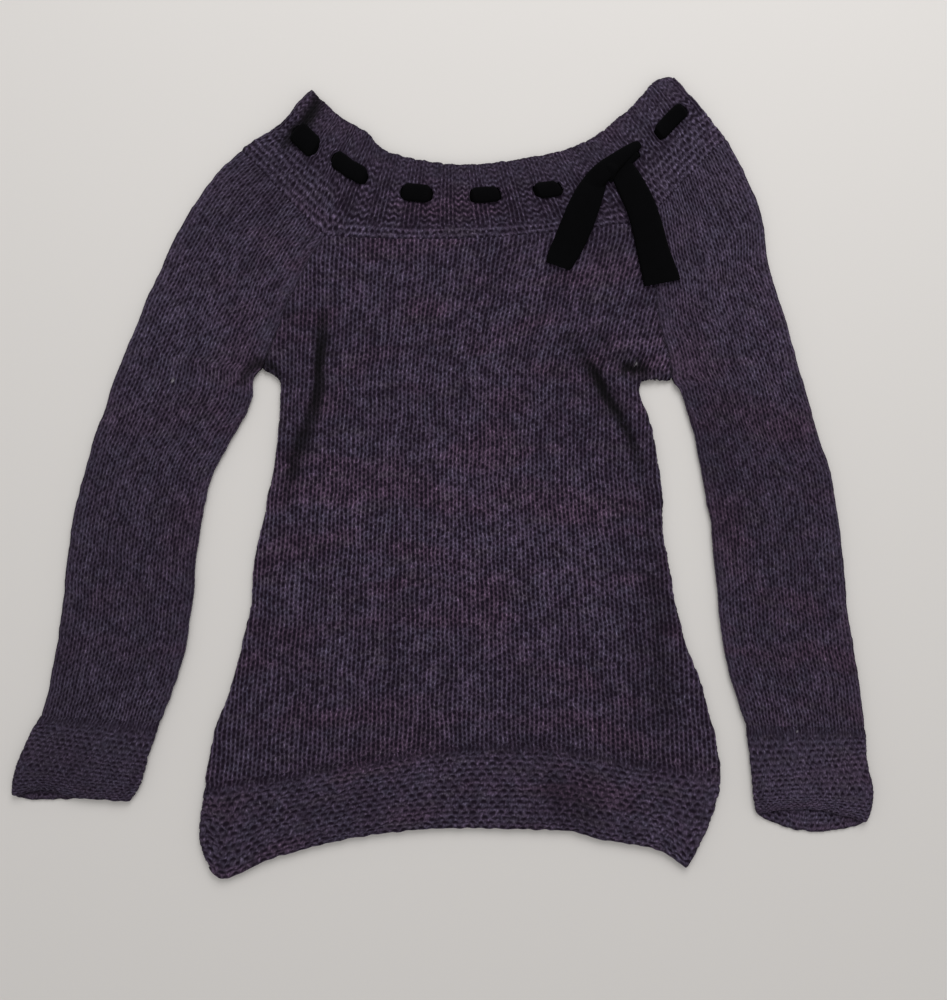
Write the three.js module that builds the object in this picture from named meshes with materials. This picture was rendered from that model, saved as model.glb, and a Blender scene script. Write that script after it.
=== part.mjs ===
// A hand-knitted raglan pullover with a ribbon-threaded boat neck, laid out flat, front side up.
// Units are millimetres. +Z is up, +Y points to the neck, and the wearer's right is at -X.
// The origin is at the bottom centre of the whole garment's box, on the surface it lies on.
// Each knitted piece is a wall of even thickness. The back layer lies flat on Z = 0, the front layer
// lies on it, and both layers roll round to meet half way up at the side and sleeve seams.

import * as THREE from "three";

// Cloth
const WALL = 3; // thickness of the knitted fabric
const LAYER_GAP = 0.6; // air between the front and the back layer
const SEAM_GAP = 0.3; // gap between two pieces where they are sewn together
const STACK = 2 * WALL + LAYER_GAP; // height of the two layers lying on each other

// Ribbon
const RIBBON_THICK = 1;
const RIBBON_THREADED_WIDTH = 14; // squeezed by the eyelets
const RIBBON_CLEAR = 0.3; // gap between the ribbon and the knitting round it
const RIBBON_LINE = 0.44; // place of the ribbon across the neckband, from its edge
const EYELET = { top: 0.31, bottom: 0.57, length: 5.5 }; // across the band, and along it in mm
const RIBBON_RISE = 2 * (RIBBON_THICK + RIBBON_CLEAR) + RIBBON_CLEAR - LAYER_GAP;
const HAIRPIN_INSET = 6.5; // the ribbon turns this far inside each shoulder fold
const HAIRPIN_STEPS = 4;
const TAIL_LIFT = 0.8; // a tail's free end lies this far over the knitting, clear of its facets
const TIE_LIFT = RIBBON_THICK + 2 * RIBBON_CLEAR; // the tie lies on the threaded ribbon
const TAIL_THICK = 1.2;
const TAIL_STEPS = 9;
const TAIL_SETTLE = [0.25, 0.7]; // shares of its length between which a tail comes down off the ribbon

// Steps
const RAGLAN_STEPS = 5;
const SIDE_STEPS = 9;
const SLEEVE_STEPS = 8;
const BAND_STEPS = 3; // down a hem band or a cuff
const RIM_STEPS = 3; // round a rolled seam edge, a quarter turn
const FOLD_STEPS = 6; // round a folded edge, half a turn
const FRONT_COLUMNS = 12;
const BACK_COLUMNS = 8;
const SLEEVE_COLUMNS = 5;

// Outlines, from the wearer's right to the wearer's left, and from the neck down
const NECK_EDGE = [
  [-111, 328], [-94, 312], [-78, 302], [-62, 294], [-50, 278], [-20, 268], [20, 265],
  [57, 268], [105, 277], [133, 293], [158, 311], [183, 335], [199, 338],
];
const NECK_MARKS = [0, 0.17, 0.735, 1]; // share of the neck edge at each raglan seam
const SHOULDER = { right: [-171, 277], left: [242, 287] };
const RAGLAN_TOP = { right: [-100, 204], left: [174, 217] };
const FRONT_TOP_SAG = [36, 194]; // pulls the front's upper edge into a shallow curve
const UNDERARM = { right: [-153, 90], left: [198, 83] };
const RAGLAN = {
  right: [RAGLAN_TOP.right, [-120, 170], [-133, 141], [-143, 114], UNDERARM.right],
  left: [RAGLAN_TOP.left, [182, 160], [187, 123], [193, 104], UNDERARM.left],
};
const HEM_TOP_CORNER = { right: [-200, -263], left: [238, -250] };
const SIDE = {
  right: [
    UNDERARM.right, [-138, 81], [-136, 64], [-138, 30], [-147, -21], [-159, -89], [-178, -174],
    [-194, -225], HEM_TOP_CORNER.right,
  ],
  left: [
    UNDERARM.left, [172, 82], [168, 72], [179, 39], [185, -4], [189, -63], [204, -131],
    [228, -204], HEM_TOP_CORNER.left,
  ],
};
const HEM_TOP = [
  HEM_TOP_CORNER.right, [-129, -252], [-86, -244], [16, -228], [101, -229], [169, -242],
  HEM_TOP_CORNER.left,
];
const HEM_CORNER = { right: [-198, -334], left: [208, -334] };
const HEM_SIDE = {
  right: [HEM_TOP_CORNER.right, [-204, -290], [-203, -315], HEM_CORNER.right],
  left: [HEM_TOP_CORNER.left, [236, -272], [221, -310], HEM_CORNER.left],
};
const HEM_EDGE = [
  HEM_CORNER.right, [-184, -339], [-149, -327], [-85, -310], [-12, -301], [63, -301],
  [129, -309], [186, -319], HEM_CORNER.left,
];
const CUFF_TOP = {
  right: { inner: [-239, -210], outer: [-341, -204] },
  left: { inner: [258, -212], outer: [360, -215] },
};
const SLEEVE_INNER = {
  right: [
    UNDERARM.right, [-161, 83], [-163, 62], [-179, 30], [-195, -4], [-208, -72], [-214, -123],
    CUFF_TOP.right.inner,
  ],
  left: [
    UNDERARM.left, [204, 72], [209, 56], [216, 22], [227, -38], [232, -97], [240, -148],
    CUFF_TOP.left.inner,
  ],
};
const SLEEVE_OUTER = {
  right: [
    SHOULDER.right, [-218, 217], [-260, 132], [-297, 30], [-314, -46], [-323, -123], [-331, -174],
    CUFF_TOP.right.outer,
  ],
  left: [
    SHOULDER.left, [273, 217], [294, 132], [321, 30], [337, -30], [347, -123], [355, -174],
    CUFF_TOP.left.outer,
  ],
};
const SHOULDER_SHARE = 0.36; // share of the sleeve's outer fold that lies above the underarm
const CUFF_INNER = {
  right: [CUFF_TOP.right.inner, [-250, -242], [-256, -262], [-264, -277]],
  left: [CUFF_TOP.left.inner, [263, -250], [265, -275], [268, -288]],
};
const CUFF_OUTER = {
  right: [CUFF_TOP.right.outer, [-353, -225], [-364, -252], [-366, -272]],
  left: [CUFF_TOP.left.outer, [363, -242], [367, -275], [363, -296]],
};
const CUFF_SAG = { right: 2, left: 9 }; // how far the middle of the wrist edge hangs below its ends

// Visible stretches of ribbon, as places along the neckband: 0 to 1 over the right sleeve,
// 1 to 2 over the front, 2 to 3 over the left sleeve
const DASHES = [
  [0.22, 0.58], [0.74, 1.07], [1.2, 1.33], [1.463, 1.59], [1.71, 1.82],
];
const TIE = [1.9, 2.33]; // eyelets that the two tied ends come out of
const TIE_END = { right: 1.96, left: 2.17 }; // where those ends pass under the tie
const DASH_PAST_TIE = [2.5, 2.88];

// Creases that stand up from the front layer: each is a line and its height
const CREASES = [
  { line: [[-102, 132], [-105, 106], [-108, 70], [-120, 19]], height: 3 },
  { line: [[135, 110], [131, 89], [144, 62], [166, 19]], height: 3 },
];
const CREASE_REACH = 16;

// The tie
const KNOT = { centre: [146, 262], half: [14, 11], height: 4.5, turn: 0.6 };
const KNOT_RINGS = 5;
const KNOT_SIDES = 14;
const KNOT_TAPER = 0.42 * Math.PI;
// Each tail's middle line, and its half width there
const TAILS = {
  right: [[139.5, 249, 7], [129, 237, 10.5], [115, 208, 10.5], [103, 182, 10]],
  left: [[153, 252.5, 7], [164, 236, 10.5], [176, 203, 12], [187, 164, 15]],
};

const KNIT_COLOUR = 0x4a4152;
const BAND_COLOUR = 0x463e4e;
const VELVET_COLOUR = 0x0a0a0c;

// ---------------------------------------------------------------- curves and lines

const flat = ([x, y]) => new THREE.Vector3(x, y, 0);
const curveThrough = (points) => new THREE.CatmullRomCurve3(points.map(flat), false, "centripetal");
const between = (a, b, share) => a.clone().lerp(b, share);
const evenly = (count) => Array.from({ length: count + 1 }, (_, i) => i / count);
const bySide = (outlines) => ({ right: curveThrough(outlines.right), left: curveThrough(outlines.left) });

const neckEdge = curveThrough(NECK_EDGE);
const raglan = bySide(RAGLAN);
const side = bySide(SIDE);
const hemSide = bySide(HEM_SIDE);
const hemTop = curveThrough(HEM_TOP);
const hemEdge = curveThrough(HEM_EDGE);
const frontTop = new THREE.QuadraticBezierCurve3(
  flat(RAGLAN_TOP.right), flat(FRONT_TOP_SAG), flat(RAGLAN_TOP.left));

// A point of the neckband: place along it, 0 to 3, and share across it from the neck edge
function bandLower(place) {
  if (place <= 1) return between(flat(SHOULDER.right), flat(RAGLAN_TOP.right), place);
  if (place <= 2) return frontTop.getPoint(place - 1);
  return between(flat(RAGLAN_TOP.left), flat(SHOULDER.left), place - 2);
}

function bandPoint(place, across) {
  const part = Math.min(2, Math.floor(place));
  const share = THREE.MathUtils.lerp(NECK_MARKS[part], NECK_MARKS[part + 1], place - part);
  return between(neckEdge.getPointAt(share), bandLower(place), across);
}

// ---------------------------------------------------------------- height of the front layer

function distanceToLine(point, line) {
  const nearest = new THREE.Vector3();
  let best = Infinity;
  for (let i = 1; i < line.length; i++) {
    const piece = new THREE.Line3(flat(line[i - 1]), flat(line[i]));
    piece.closestPointToPoint(new THREE.Vector3(point.x, point.y, 0), true, nearest);
    best = Math.min(best, Math.hypot(point.x - nearest.x, point.y - nearest.y));
  }
  return best;
}

function creaseRise(point) {
  let rise = 0;
  for (const { line, height } of CREASES) {
    const away = distanceToLine(point, line) / CREASE_REACH;
    if (away < 1) rise = Math.max(rise, (height * (1 + Math.cos(Math.PI * away))) / 2);
  }
  return rise;
}

// The band stands higher where the ribbon lies between its two layers
function ribbonRise(across) {
  if (across < EYELET.top) return (RIBBON_RISE * across) / EYELET.top;
  if (across > EYELET.bottom) return (RIBBON_RISE * (1 - across)) / (1 - EYELET.bottom);
  return RIBBON_RISE;
}

// ---------------------------------------------------------------- walls of cloth

// A skin point is a place on the outer face of the cloth and the way that face looks
const skin = (x, y, z, normal) => ({ at: new THREE.Vector3(x, y, z), normal });
const UP = new THREE.Vector3(0, 0, 1);
const facing = (layer) => UP.clone().multiplyScalar(layer);
const layerHeight = (top, layer) => (layer > 0 ? top : 0);

// Points round a seam edge from the edge inwards. A rolled edge turns down (layer 1) or up (layer -1)
// to half height; an edge that is not rolled stays level.
function rim(edge, inward, top, layer, rolled) {
  const radius = top / 2;
  return evenly(RIM_STEPS).map((share) => {
    const angle = rolled ? ((1 - share) * Math.PI) / 2 : 0;
    const reach = rolled ? radius * (1 - Math.sin(angle)) : radius * share;
    const height = layer > 0 ? top - radius * (1 - Math.cos(angle)) : radius * (1 - Math.cos(angle));
    const normal = inward.clone().multiplyScalar(-Math.sin(angle));
    normal.z = layer * Math.cos(angle);
    return skin(edge.x + inward.x * reach, edge.y + inward.y * reach, height, normal);
  });
}

// Points round a folded edge, from the front layer to the back layer, ends left out
function fold(edge, outward, top) {
  const radius = top / 2;
  return evenly(FOLD_STEPS).slice(1, -1).map((share) => {
    const angle = share * Math.PI;
    const normal = outward.clone().multiplyScalar(Math.sin(angle));
    normal.z = Math.cos(angle);
    const reach = radius * (Math.sin(angle) - 1);
    return skin(
      edge.x + outward.x * reach, edge.y + outward.y * reach, radius * (1 + Math.cos(angle)), normal);
  });
}

// Level points of one layer along a line of places in the plane
function level(points, topAt, layer) {
  return points.map((p) => skin(p.x, p.y, layerHeight(topAt(p), layer), facing(layer)));
}

// Rows at the two ends, and columns at the two edges where the sheet is open, draw back from a seam
function drawBack(rows, ringed) {
  const shift = (point, next) => {
    const step = next.at.clone().sub(point.at).setLength(SEAM_GAP / 2);
    return { at: point.at.clone().add(step), normal: point.normal };
  };
  const last = rows.length - 1;
  const drawn = rows.map((row) => row.slice());
  rows[0].forEach((point, j) => { drawn[0][j] = shift(point, rows[1][j]); });
  rows[last].forEach((point, j) => { drawn[last][j] = shift(point, rows[last - 1][j]); });
  if (ringed) return drawn;
  return drawn.map((row) => {
    const end = row.length - 1;
    return row.map((point, j) => {
      if (j === 0) return shift(point, row[1]);
      return j === end ? shift(point, row[end - 1]) : point;
    });
  });
}

// Closes rows of skin points into a wall. Cells named by isHole are left open right through.
function wallGeometry(rows, thickness, { ringed = false, isHole = () => false } = {}) {
  const width = rows[0].length;
  const cells = ringed ? width : width - 1;
  const positions = [];
  rows.forEach((row) => row.forEach(({ at }) => positions.push(at.x, at.y, at.z)));
  rows.forEach((row) => row.forEach(({ at, normal }) => {
    const inner = at.clone().addScaledVector(normal, -thickness);
    positions.push(inner.x, inner.y, inner.z);
  }));
  const inside = rows.length * width;
  const index = [];
  const quad = (a, b, c, d) => index.push(a, b, c, a, c, d);
  const point = (i, j) => i * width + (j % width);
  const solid = (i, j) => {
    if (i < 0 || i >= rows.length - 1) return false;
    const column = ringed ? (j + cells) % cells : j;
    return column >= 0 && column < cells && !isHole(i, column);
  };
  const edgeWall = (a, b) => quad(a, b, b + inside, a + inside);
  for (let i = 0; i < rows.length - 1; i++) {
    for (let j = 0; j < cells; j++) {
      if (!solid(i, j)) continue;
      const [a, b, c, d] = [point(i, j), point(i + 1, j), point(i + 1, j + 1), point(i, j + 1)];
      quad(a, b, c, d);
      quad(d + inside, c + inside, b + inside, a + inside);
      if (!solid(i - 1, j)) edgeWall(a, d);
      if (!solid(i + 1, j)) edgeWall(c, b);
      if (!solid(i, j - 1)) edgeWall(b, a);
      if (!solid(i, j + 1)) edgeWall(d, c);
    }
  }
  return closedGeometry(positions, index);
}

// Six times the volume inside the faces, negative where they point inwards
function signedVolume(positions, index) {
  const corner = (k) => new THREE.Vector3().fromArray(positions, 3 * index[k]);
  let sum = 0;
  for (let k = 0; k < index.length; k += 3) {
    sum += corner(k).dot(corner(k + 1).cross(corner(k + 2)));
  }
  return sum;
}

function closedGeometry(positions, index) {
  const outwards = signedVolume(positions, index) < 0 ? index.slice().reverse() : index;
  const whole = new THREE.BufferGeometry();
  whole.setAttribute("position", new THREE.Float32BufferAttribute(positions, 3));
  whole.setIndex(outwards);
  const geometry = whole.toNonIndexed();
  geometry.computeVertexNormals();
  return geometry;
}

function knitted(colour) {
  return new THREE.MeshStandardMaterial({ color: colour, roughness: 0.95, metalness: 0 });
}

function velvet() {
  return new THREE.MeshStandardMaterial({ color: VELVET_COLOUR, roughness: 1, metalness: 0 });
}

function named(name, geometry, material) {
  const mesh = new THREE.Mesh(geometry, material);
  mesh.name = name;
  return mesh;
}

// ---------------------------------------------------------------- front, back and hem bands

// Fills the space between a right and a left edge, and bends its first and last rows to two curves
function panelRow(rightPoint, leftPoint, shares, down, top, bottom) {
  return shares.map((share) => {
    const point = between(rightPoint, leftPoint, share);
    const bend = (curve, weight) => {
      const chord = between(curve.getPoint(0), curve.getPoint(1), share);
      point.addScaledVector(curve.getPoint(share).sub(chord), weight);
    };
    bend(top, 1 - down);
    bend(bottom, down);
    return point;
  });
}

function panelSection(line, topAt, layer, rolled) {
  const end = line.length - 1;
  const inwardRight = line[1].clone().sub(line[0]).normalize();
  const inwardLeft = line[end - 1].clone().sub(line[end]).normalize();
  return [
    ...rim(line[0], inwardRight, topAt(line[0]), layer, rolled),
    ...level(line.slice(1, -1), topAt, layer),
    ...rim(line[end], inwardLeft, topAt(line[end]), layer, rolled).reverse(),
  ];
}

const bodyTop = (point) => STACK + creaseRise(point);
const plainTop = () => STACK;

function bodyPanel(layer, columns) {
  const shares = evenly(columns);
  const rows = [];
  const total = RAGLAN_STEPS + SIDE_STEPS;
  for (let i = 0; i <= total; i++) {
    const above = i <= RAGLAN_STEPS;
    const edges = above ? raglan : side;
    const share = above ? i / RAGLAN_STEPS : (i - RAGLAN_STEPS) / SIDE_STEPS;
    const line = panelRow(
      edges.right.getPoint(share), edges.left.getPoint(share), shares, i / total, frontTop, hemTop);
    rows.push(panelSection(line, bodyTop, layer, !above));
  }
  return wallGeometry(drawBack(rows, false), WALL);
}

function hemBand(layer, columns) {
  const shares = evenly(columns);
  const rows = evenly(BAND_STEPS).map((down) => {
    const line = panelRow(
      hemSide.right.getPoint(down), hemSide.left.getPoint(down), shares, down, hemTop, hemEdge);
    return panelSection(line, plainTop, layer, true);
  });
  return wallGeometry(drawBack(rows, false), WALL);
}

// ---------------------------------------------------------------- sleeves and cuffs

// One section of a sleeve: the front layer out to the fold and the back layer home again
function sleeveSection(inner, outer, rolled, hang = 0) {
  const outward = outer.clone().sub(inner).normalize();
  const inward = outward.clone().negate();
  const radius = STACK / 2;
  const start = inner.clone().addScaledVector(outward, radius);
  const end = outer.clone().addScaledVector(outward, -radius);
  const line = evenly(SLEEVE_COLUMNS).slice(1).map((share) => {
    const point = between(start, end, share);
    point.y -= hang * Math.sin(Math.PI * share);
    return point;
  });
  const home = line.slice().reverse();
  return [
    ...rim(inner, outward, STACK, 1, rolled),
    ...level(line, plainTop, 1),
    ...fold(outer, inward.negate(), STACK),
    ...level(home, plainTop, -1),
    ...rim(inner, outward, STACK, -1, rolled).reverse(),
  ];
}

function sleeve(sideName) {
  const inner = curveThrough(SLEEVE_INNER[sideName]);
  const outer = curveThrough(SLEEVE_OUTER[sideName]);
  const rows = [];
  for (let i = 0; i <= RAGLAN_STEPS; i++) {
    const share = i / RAGLAN_STEPS;
    rows.push(sleeveSection(
      raglan[sideName].getPoint(share), outer.getPointAt(share * SHOULDER_SHARE), false));
  }
  for (let i = 1; i <= SLEEVE_STEPS; i++) {
    const share = i / SLEEVE_STEPS;
    rows.push(sleeveSection(
      inner.getPointAt(share), outer.getPointAt(THREE.MathUtils.lerp(SHOULDER_SHARE, 1, share)), true));
  }
  return wallGeometry(drawBack(rows, false), WALL);
}

function cuff(sideName) {
  const inner = curveThrough(CUFF_INNER[sideName]);
  const outer = curveThrough(CUFF_OUTER[sideName]);
  const rows = evenly(BAND_STEPS).map((down) =>
    sleeveSection(inner.getPoint(down), outer.getPoint(down), true, CUFF_SAG[sideName] * down));
  return wallGeometry(drawBack(rows, false), WALL);
}

// ---------------------------------------------------------------- neckband

// Length along the band, in mm, of a step of one in place, near that place
function bandStretch(place) {
  const step = 0.02;
  const from = Math.max(0, Math.min(3 - step, place - step / 2));
  return bandPoint(from, RIBBON_LINE).distanceTo(bandPoint(from + step, RIBBON_LINE)) / step;
}

const eyeletSpan = (place, way) => {
  const reach = place + (way * EYELET.length) / bandStretch(place + way * 0.01);
  return [Math.min(place, reach), Math.max(place, reach)];
};

function eyelets() {
  const spans = [];
  for (const [from, to] of [...DASHES, DASH_PAST_TIE]) {
    spans.push(eyeletSpan(from, 1), eyeletSpan(to, -1));
  }
  spans.push(eyeletSpan(TIE[0], 1), eyeletSpan(TIE[1], -1));
  return spans.sort((a, b) => a[0] - b[0]);
}

function neckband() {
  const spans = eyelets();
  const places = [0, 1, 2, 3, ...spans.flat()].sort((a, b) => a - b);
  const shares = [0, EYELET.top / 2, EYELET.top, EYELET.bottom, (1 + EYELET.bottom) / 2, 1];
  const slotRow = shares.indexOf(EYELET.top);
  const backPlaces = evenly(12).map((share) => 3 * share);
  const rows = shares.map((across) => {
    const top = STACK + ribbonRise(across);
    const outwardLeft = bandPoint(3, across).sub(bandPoint(2.9, across)).normalize();
    const outwardRight = bandPoint(0, across).sub(bandPoint(0.1, across)).normalize();
    const place = (s) => {
      const point = bandPoint(s, across);
      if (s === 0) point.addScaledVector(outwardRight, -top / 2);
      if (s === 3) point.addScaledVector(outwardLeft, -top / 2);
      return point;
    };
    const topAt = () => top;
    return [
      ...level(places.map(place), topAt, 1),
      ...fold(bandPoint(3, across), outwardLeft, top),
      ...level(backPlaces.map(place).reverse(), topAt, -1),
      ...fold(bandPoint(0, across), outwardRight, top).reverse(),
    ];
  });
  const isHole = (i, j) => {
    if (i !== slotRow || j >= places.length - 1) return false;
    const middle = (places[j] + places[j + 1]) / 2;
    return spans.some(([from, to]) => from < middle && middle < to);
  };
  return wallGeometry(drawBack(rows, true), WALL, { ringed: true, isHole });
}

// ---------------------------------------------------------------- ribbon

const LEVEL = {
  back: WALL + RIBBON_CLEAR + RIBBON_THICK / 2,
  under: WALL + 2 * RIBBON_CLEAR + 1.5 * RIBBON_THICK,
  over: STACK + RIBBON_RISE + RIBBON_CLEAR + RIBBON_THICK / 2,
};
const SLOT_EASE = 0.5; // the ribbon starts and ends its climb this far inside a slot, in mm

function threadPoint(place, height) {
  const point = bandPoint(place, RIBBON_LINE);
  const cross = bandPoint(place, EYELET.bottom).sub(bandPoint(place, EYELET.top)).normalize();
  return { at: new THREE.Vector3(point.x, point.y, height), cross };
}

// The two ends of a climb through an eyelet, in order of place
function climb(place, way, first, second) {
  const [from, to] = eyeletSpan(place, way);
  const ease = SLOT_EASE / bandStretch(place);
  return [threadPoint(from + ease, first), threadPoint(to - ease, second)];
}

function threadRun(from, to, height, steps) {
  return evenly(steps).map((share) => threadPoint(THREE.MathUtils.lerp(from, to, share), height));
}

// Turns the ribbon back on itself inside a shoulder fold
function hairpin(place, outward, way) {
  const base = threadPoint(place, 0);
  const middle = (LEVEL.under + LEVEL.back) / 2;
  const radius = (LEVEL.under - LEVEL.back) / 2;
  return evenly(HAIRPIN_STEPS).map((share) => {
    const angle = share * Math.PI;
    const at = base.at.clone().addScaledVector(outward, radius * Math.sin(angle));
    at.z = middle + way * radius * Math.cos(angle);
    return { at, cross: base.cross };
  });
}

function dashRoute([from, to]) {
  const [, start] = eyeletSpan(from, 1);
  const [end] = eyeletSpan(to, -1);
  return [
    ...climb(from, 1, LEVEL.under, LEVEL.over),
    ...threadRun(start, end, LEVEL.over, 3).slice(1, -1),
    ...climb(to, -1, LEVEL.over, LEVEL.under),
  ];
}

// From the tie eyelet over the left sleeve, round inside the back of the neck, and along the
// front to the other tie eyelet
function ribbonRoute() {
  const leftEnd = 3 - HAIRPIN_INSET / bandStretch(3);
  const rightEnd = HAIRPIN_INSET / bandStretch(0);
  const outwardLeft = bandPoint(3, RIBBON_LINE).sub(bandPoint(2.9, RIBBON_LINE)).normalize();
  const outwardRight = bandPoint(0, RIBBON_LINE).sub(bandPoint(0.1, RIBBON_LINE)).normalize();
  const route = [
    threadPoint(TIE_END.left, LEVEL.over),
    ...climb(TIE[1], -1, LEVEL.over, LEVEL.under),
    ...dashRoute(DASH_PAST_TIE),
    ...hairpin(leftEnd, outwardLeft, 1),
    ...threadRun(leftEnd, rightEnd, LEVEL.back, 16).slice(1, -1),
    ...hairpin(rightEnd, outwardRight, -1),
  ];
  DASHES.forEach((dash, i) => {
    route.push(...dashRoute(dash));
    const next = i + 1 < DASHES.length ? DASHES[i + 1][0] : TIE[0];
    route.push(...threadRun(dash[1], next, LEVEL.under, 3).slice(1, -1));
  });
  route.push(...climb(TIE[0], 1, LEVEL.under, LEVEL.over), threadPoint(TIE_END.right, LEVEL.over));
  return route;
}

// Sweeps a flat rectangular section along a route, its corners mitred
function stripGeometry(route, width, thickness) {
  const positions = [];
  const normals = route.slice(1).map(({ at }, i) => {
    const along = at.clone().sub(route[i].at);
    return new THREE.Vector3().crossVectors(route[i].cross, along).normalize();
  });
  route.forEach(({ at, cross }, i) => {
    const before = normals[Math.max(0, i - 1)];
    const after = normals[Math.min(normals.length - 1, i)];
    const mitre = before.clone().add(after).normalize();
    const half = thickness / 2 / Math.max(0.6, mitre.dot(after));
    for (const [across, up] of [[-1, -1], [1, -1], [1, 1], [-1, 1]]) {
      const corner = at.clone().addScaledVector(cross, (across * width) / 2);
      corner.addScaledVector(mitre, up * half);
      positions.push(corner.x, corner.y, corner.z);
    }
  });
  return closedGeometry(positions, tubeIndex(route.length, 4));
}

// Faces of a tube of rings, each with the same number of corners, closed by two caps
function tubeIndex(rings, corners) {
  const index = [];
  for (let i = 0; i < rings - 1; i++) {
    for (let j = 0; j < corners; j++) {
      const [a, b] = [i * corners + j, i * corners + ((j + 1) % corners)];
      index.push(a, b, b + corners, a, b + corners, a + corners);
    }
  }
  const end = (rings - 1) * corners;
  for (let j = 1; j < corners - 1; j++) {
    index.push(0, j + 1, j, end, end + j, end + j + 1);
  }
  return index;
}

// The knot is a low domed pad lying on the ribbon's two ends
function knot() {
  const base = STACK + RIBBON_RISE + TIE_LIFT;
  const outline = evenly(KNOT_SIDES).slice(0, -1).map((share) => {
    const angle = share * 2 * Math.PI;
    const point = new THREE.Vector3(KNOT.half[0] * Math.cos(angle), KNOT.half[1] * Math.sin(angle), 0);
    return point.applyAxisAngle(UP, KNOT.turn);
  });
  const positions = [];
  for (const share of evenly(KNOT_RINGS)) {
    const size = Math.cos(share * KNOT_TAPER);
    outline.forEach((point) => positions.push(
      KNOT.centre[0] + point.x * size, KNOT.centre[1] + point.y * size,
      base + KNOT.height * Math.sin((share * Math.PI) / 2)));
  }
  return closedGeometry(positions, tubeIndex(KNOT_RINGS + 1, KNOT_SIDES));
}

// Height of the front layer under a tail, which lies over the band, the front and the left sleeve
function heightUnder(point) {
  let best = Infinity;
  let rise = 0;
  for (const place of evenly(60).map((share) => 1.5 + share)) {
    for (const across of evenly(20)) {
      const away = bandPoint(place, across).distanceTo(point);
      if (away < best) {
        best = away;
        rise = ribbonRise(across);
      }
    }
  }
  return STACK + rise;
}

function tail(stations) {
  const centres = stations.map(([x, y]) => new THREE.Vector3(x, y, 0));
  const course = new THREE.CatmullRomCurve3(centres, false, "centripetal");
  const rows = evenly(TAIL_STEPS).map((share) => {
    const settled = THREE.MathUtils.smoothstep(share, ...TAIL_SETTLE);
    const lift = THREE.MathUtils.lerp(TIE_LIFT, TAIL_LIFT, settled);
    const centre = course.getPoint(share);
    const along = course.getTangent(share);
    const cross = new THREE.Vector3(-along.y, along.x, 0).normalize();
    const place = share * (stations.length - 1);
    const index = Math.min(stations.length - 2, Math.floor(place));
    const half = THREE.MathUtils.lerp(stations[index][2], stations[index + 1][2], place - index);
    return [1, 0.33, -0.33, -1].map((across) => {
      const point = centre.clone().addScaledVector(cross, across * half);
      return skin(point.x, point.y, heightUnder(point) + lift + TAIL_THICK, UP);
    });
  });
  return wallGeometry(rows, TAIL_THICK);
}

// ---------------------------------------------------------------- the garment

const group = new THREE.Group();
group.add(
  named("front", bodyPanel(1, FRONT_COLUMNS), knitted(KNIT_COLOUR)),
  named("back", bodyPanel(-1, BACK_COLUMNS), knitted(KNIT_COLOUR)),
  named("front_hem_band", hemBand(1, FRONT_COLUMNS), knitted(BAND_COLOUR)),
  named("back_hem_band", hemBand(-1, BACK_COLUMNS), knitted(BAND_COLOUR)),
);
for (const sideName of ["right", "left"]) {
  group.add(
    named(`${sideName}_sleeve`, sleeve(sideName), knitted(KNIT_COLOUR)),
    named(`${sideName}_cuff`, cuff(sideName), knitted(BAND_COLOUR)),
    named(`ribbon_tail_${sideName}`, tail(TAILS[sideName]), velvet()),
  );
}
group.add(
  named("neckband", neckband(), knitted(BAND_COLOUR)),
  named("ribbon", stripGeometry(ribbonRoute(), RIBBON_THREADED_WIDTH, RIBBON_THICK), velvet()),
  named("ribbon_knot", knot(), velvet()),
);

export default group;
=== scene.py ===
"""Hand-knitted raglan pullover with a ribbon-threaded boat neck, laid out flat, front side up."""

import math

import bpy
import numpy as np
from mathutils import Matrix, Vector, kdtree


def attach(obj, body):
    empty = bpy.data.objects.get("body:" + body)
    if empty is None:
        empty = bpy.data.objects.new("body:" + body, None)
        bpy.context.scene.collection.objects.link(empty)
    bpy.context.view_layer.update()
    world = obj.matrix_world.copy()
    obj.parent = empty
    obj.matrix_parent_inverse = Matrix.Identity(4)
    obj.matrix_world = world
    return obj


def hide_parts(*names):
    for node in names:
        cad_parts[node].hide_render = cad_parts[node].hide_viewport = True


bl_info = {
    "name": "Knitted Pullover Laid Flat",
    "version": (1, 0, 0),
    "blender": (4, 5, 0),
    "location": "View3D > Sidebar > Pullover",
    "description": "Knits a raglan pullover with a ribbon-threaded neck on its packed frame",
    "category": "Add Mesh",
}

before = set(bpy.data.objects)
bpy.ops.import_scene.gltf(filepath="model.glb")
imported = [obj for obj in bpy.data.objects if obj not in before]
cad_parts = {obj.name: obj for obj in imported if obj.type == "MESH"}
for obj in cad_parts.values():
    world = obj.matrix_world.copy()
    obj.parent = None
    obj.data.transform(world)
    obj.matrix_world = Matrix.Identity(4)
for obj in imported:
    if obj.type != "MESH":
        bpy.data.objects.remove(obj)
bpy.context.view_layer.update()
BODY = "root"
MM = 0.001

# Cloth, in millimetres: the same sizes as the frame's walls
WALL = 3
STACK = 6.6
ROLL = STACK / 2
RIBBON_RISE = 2.3

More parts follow.
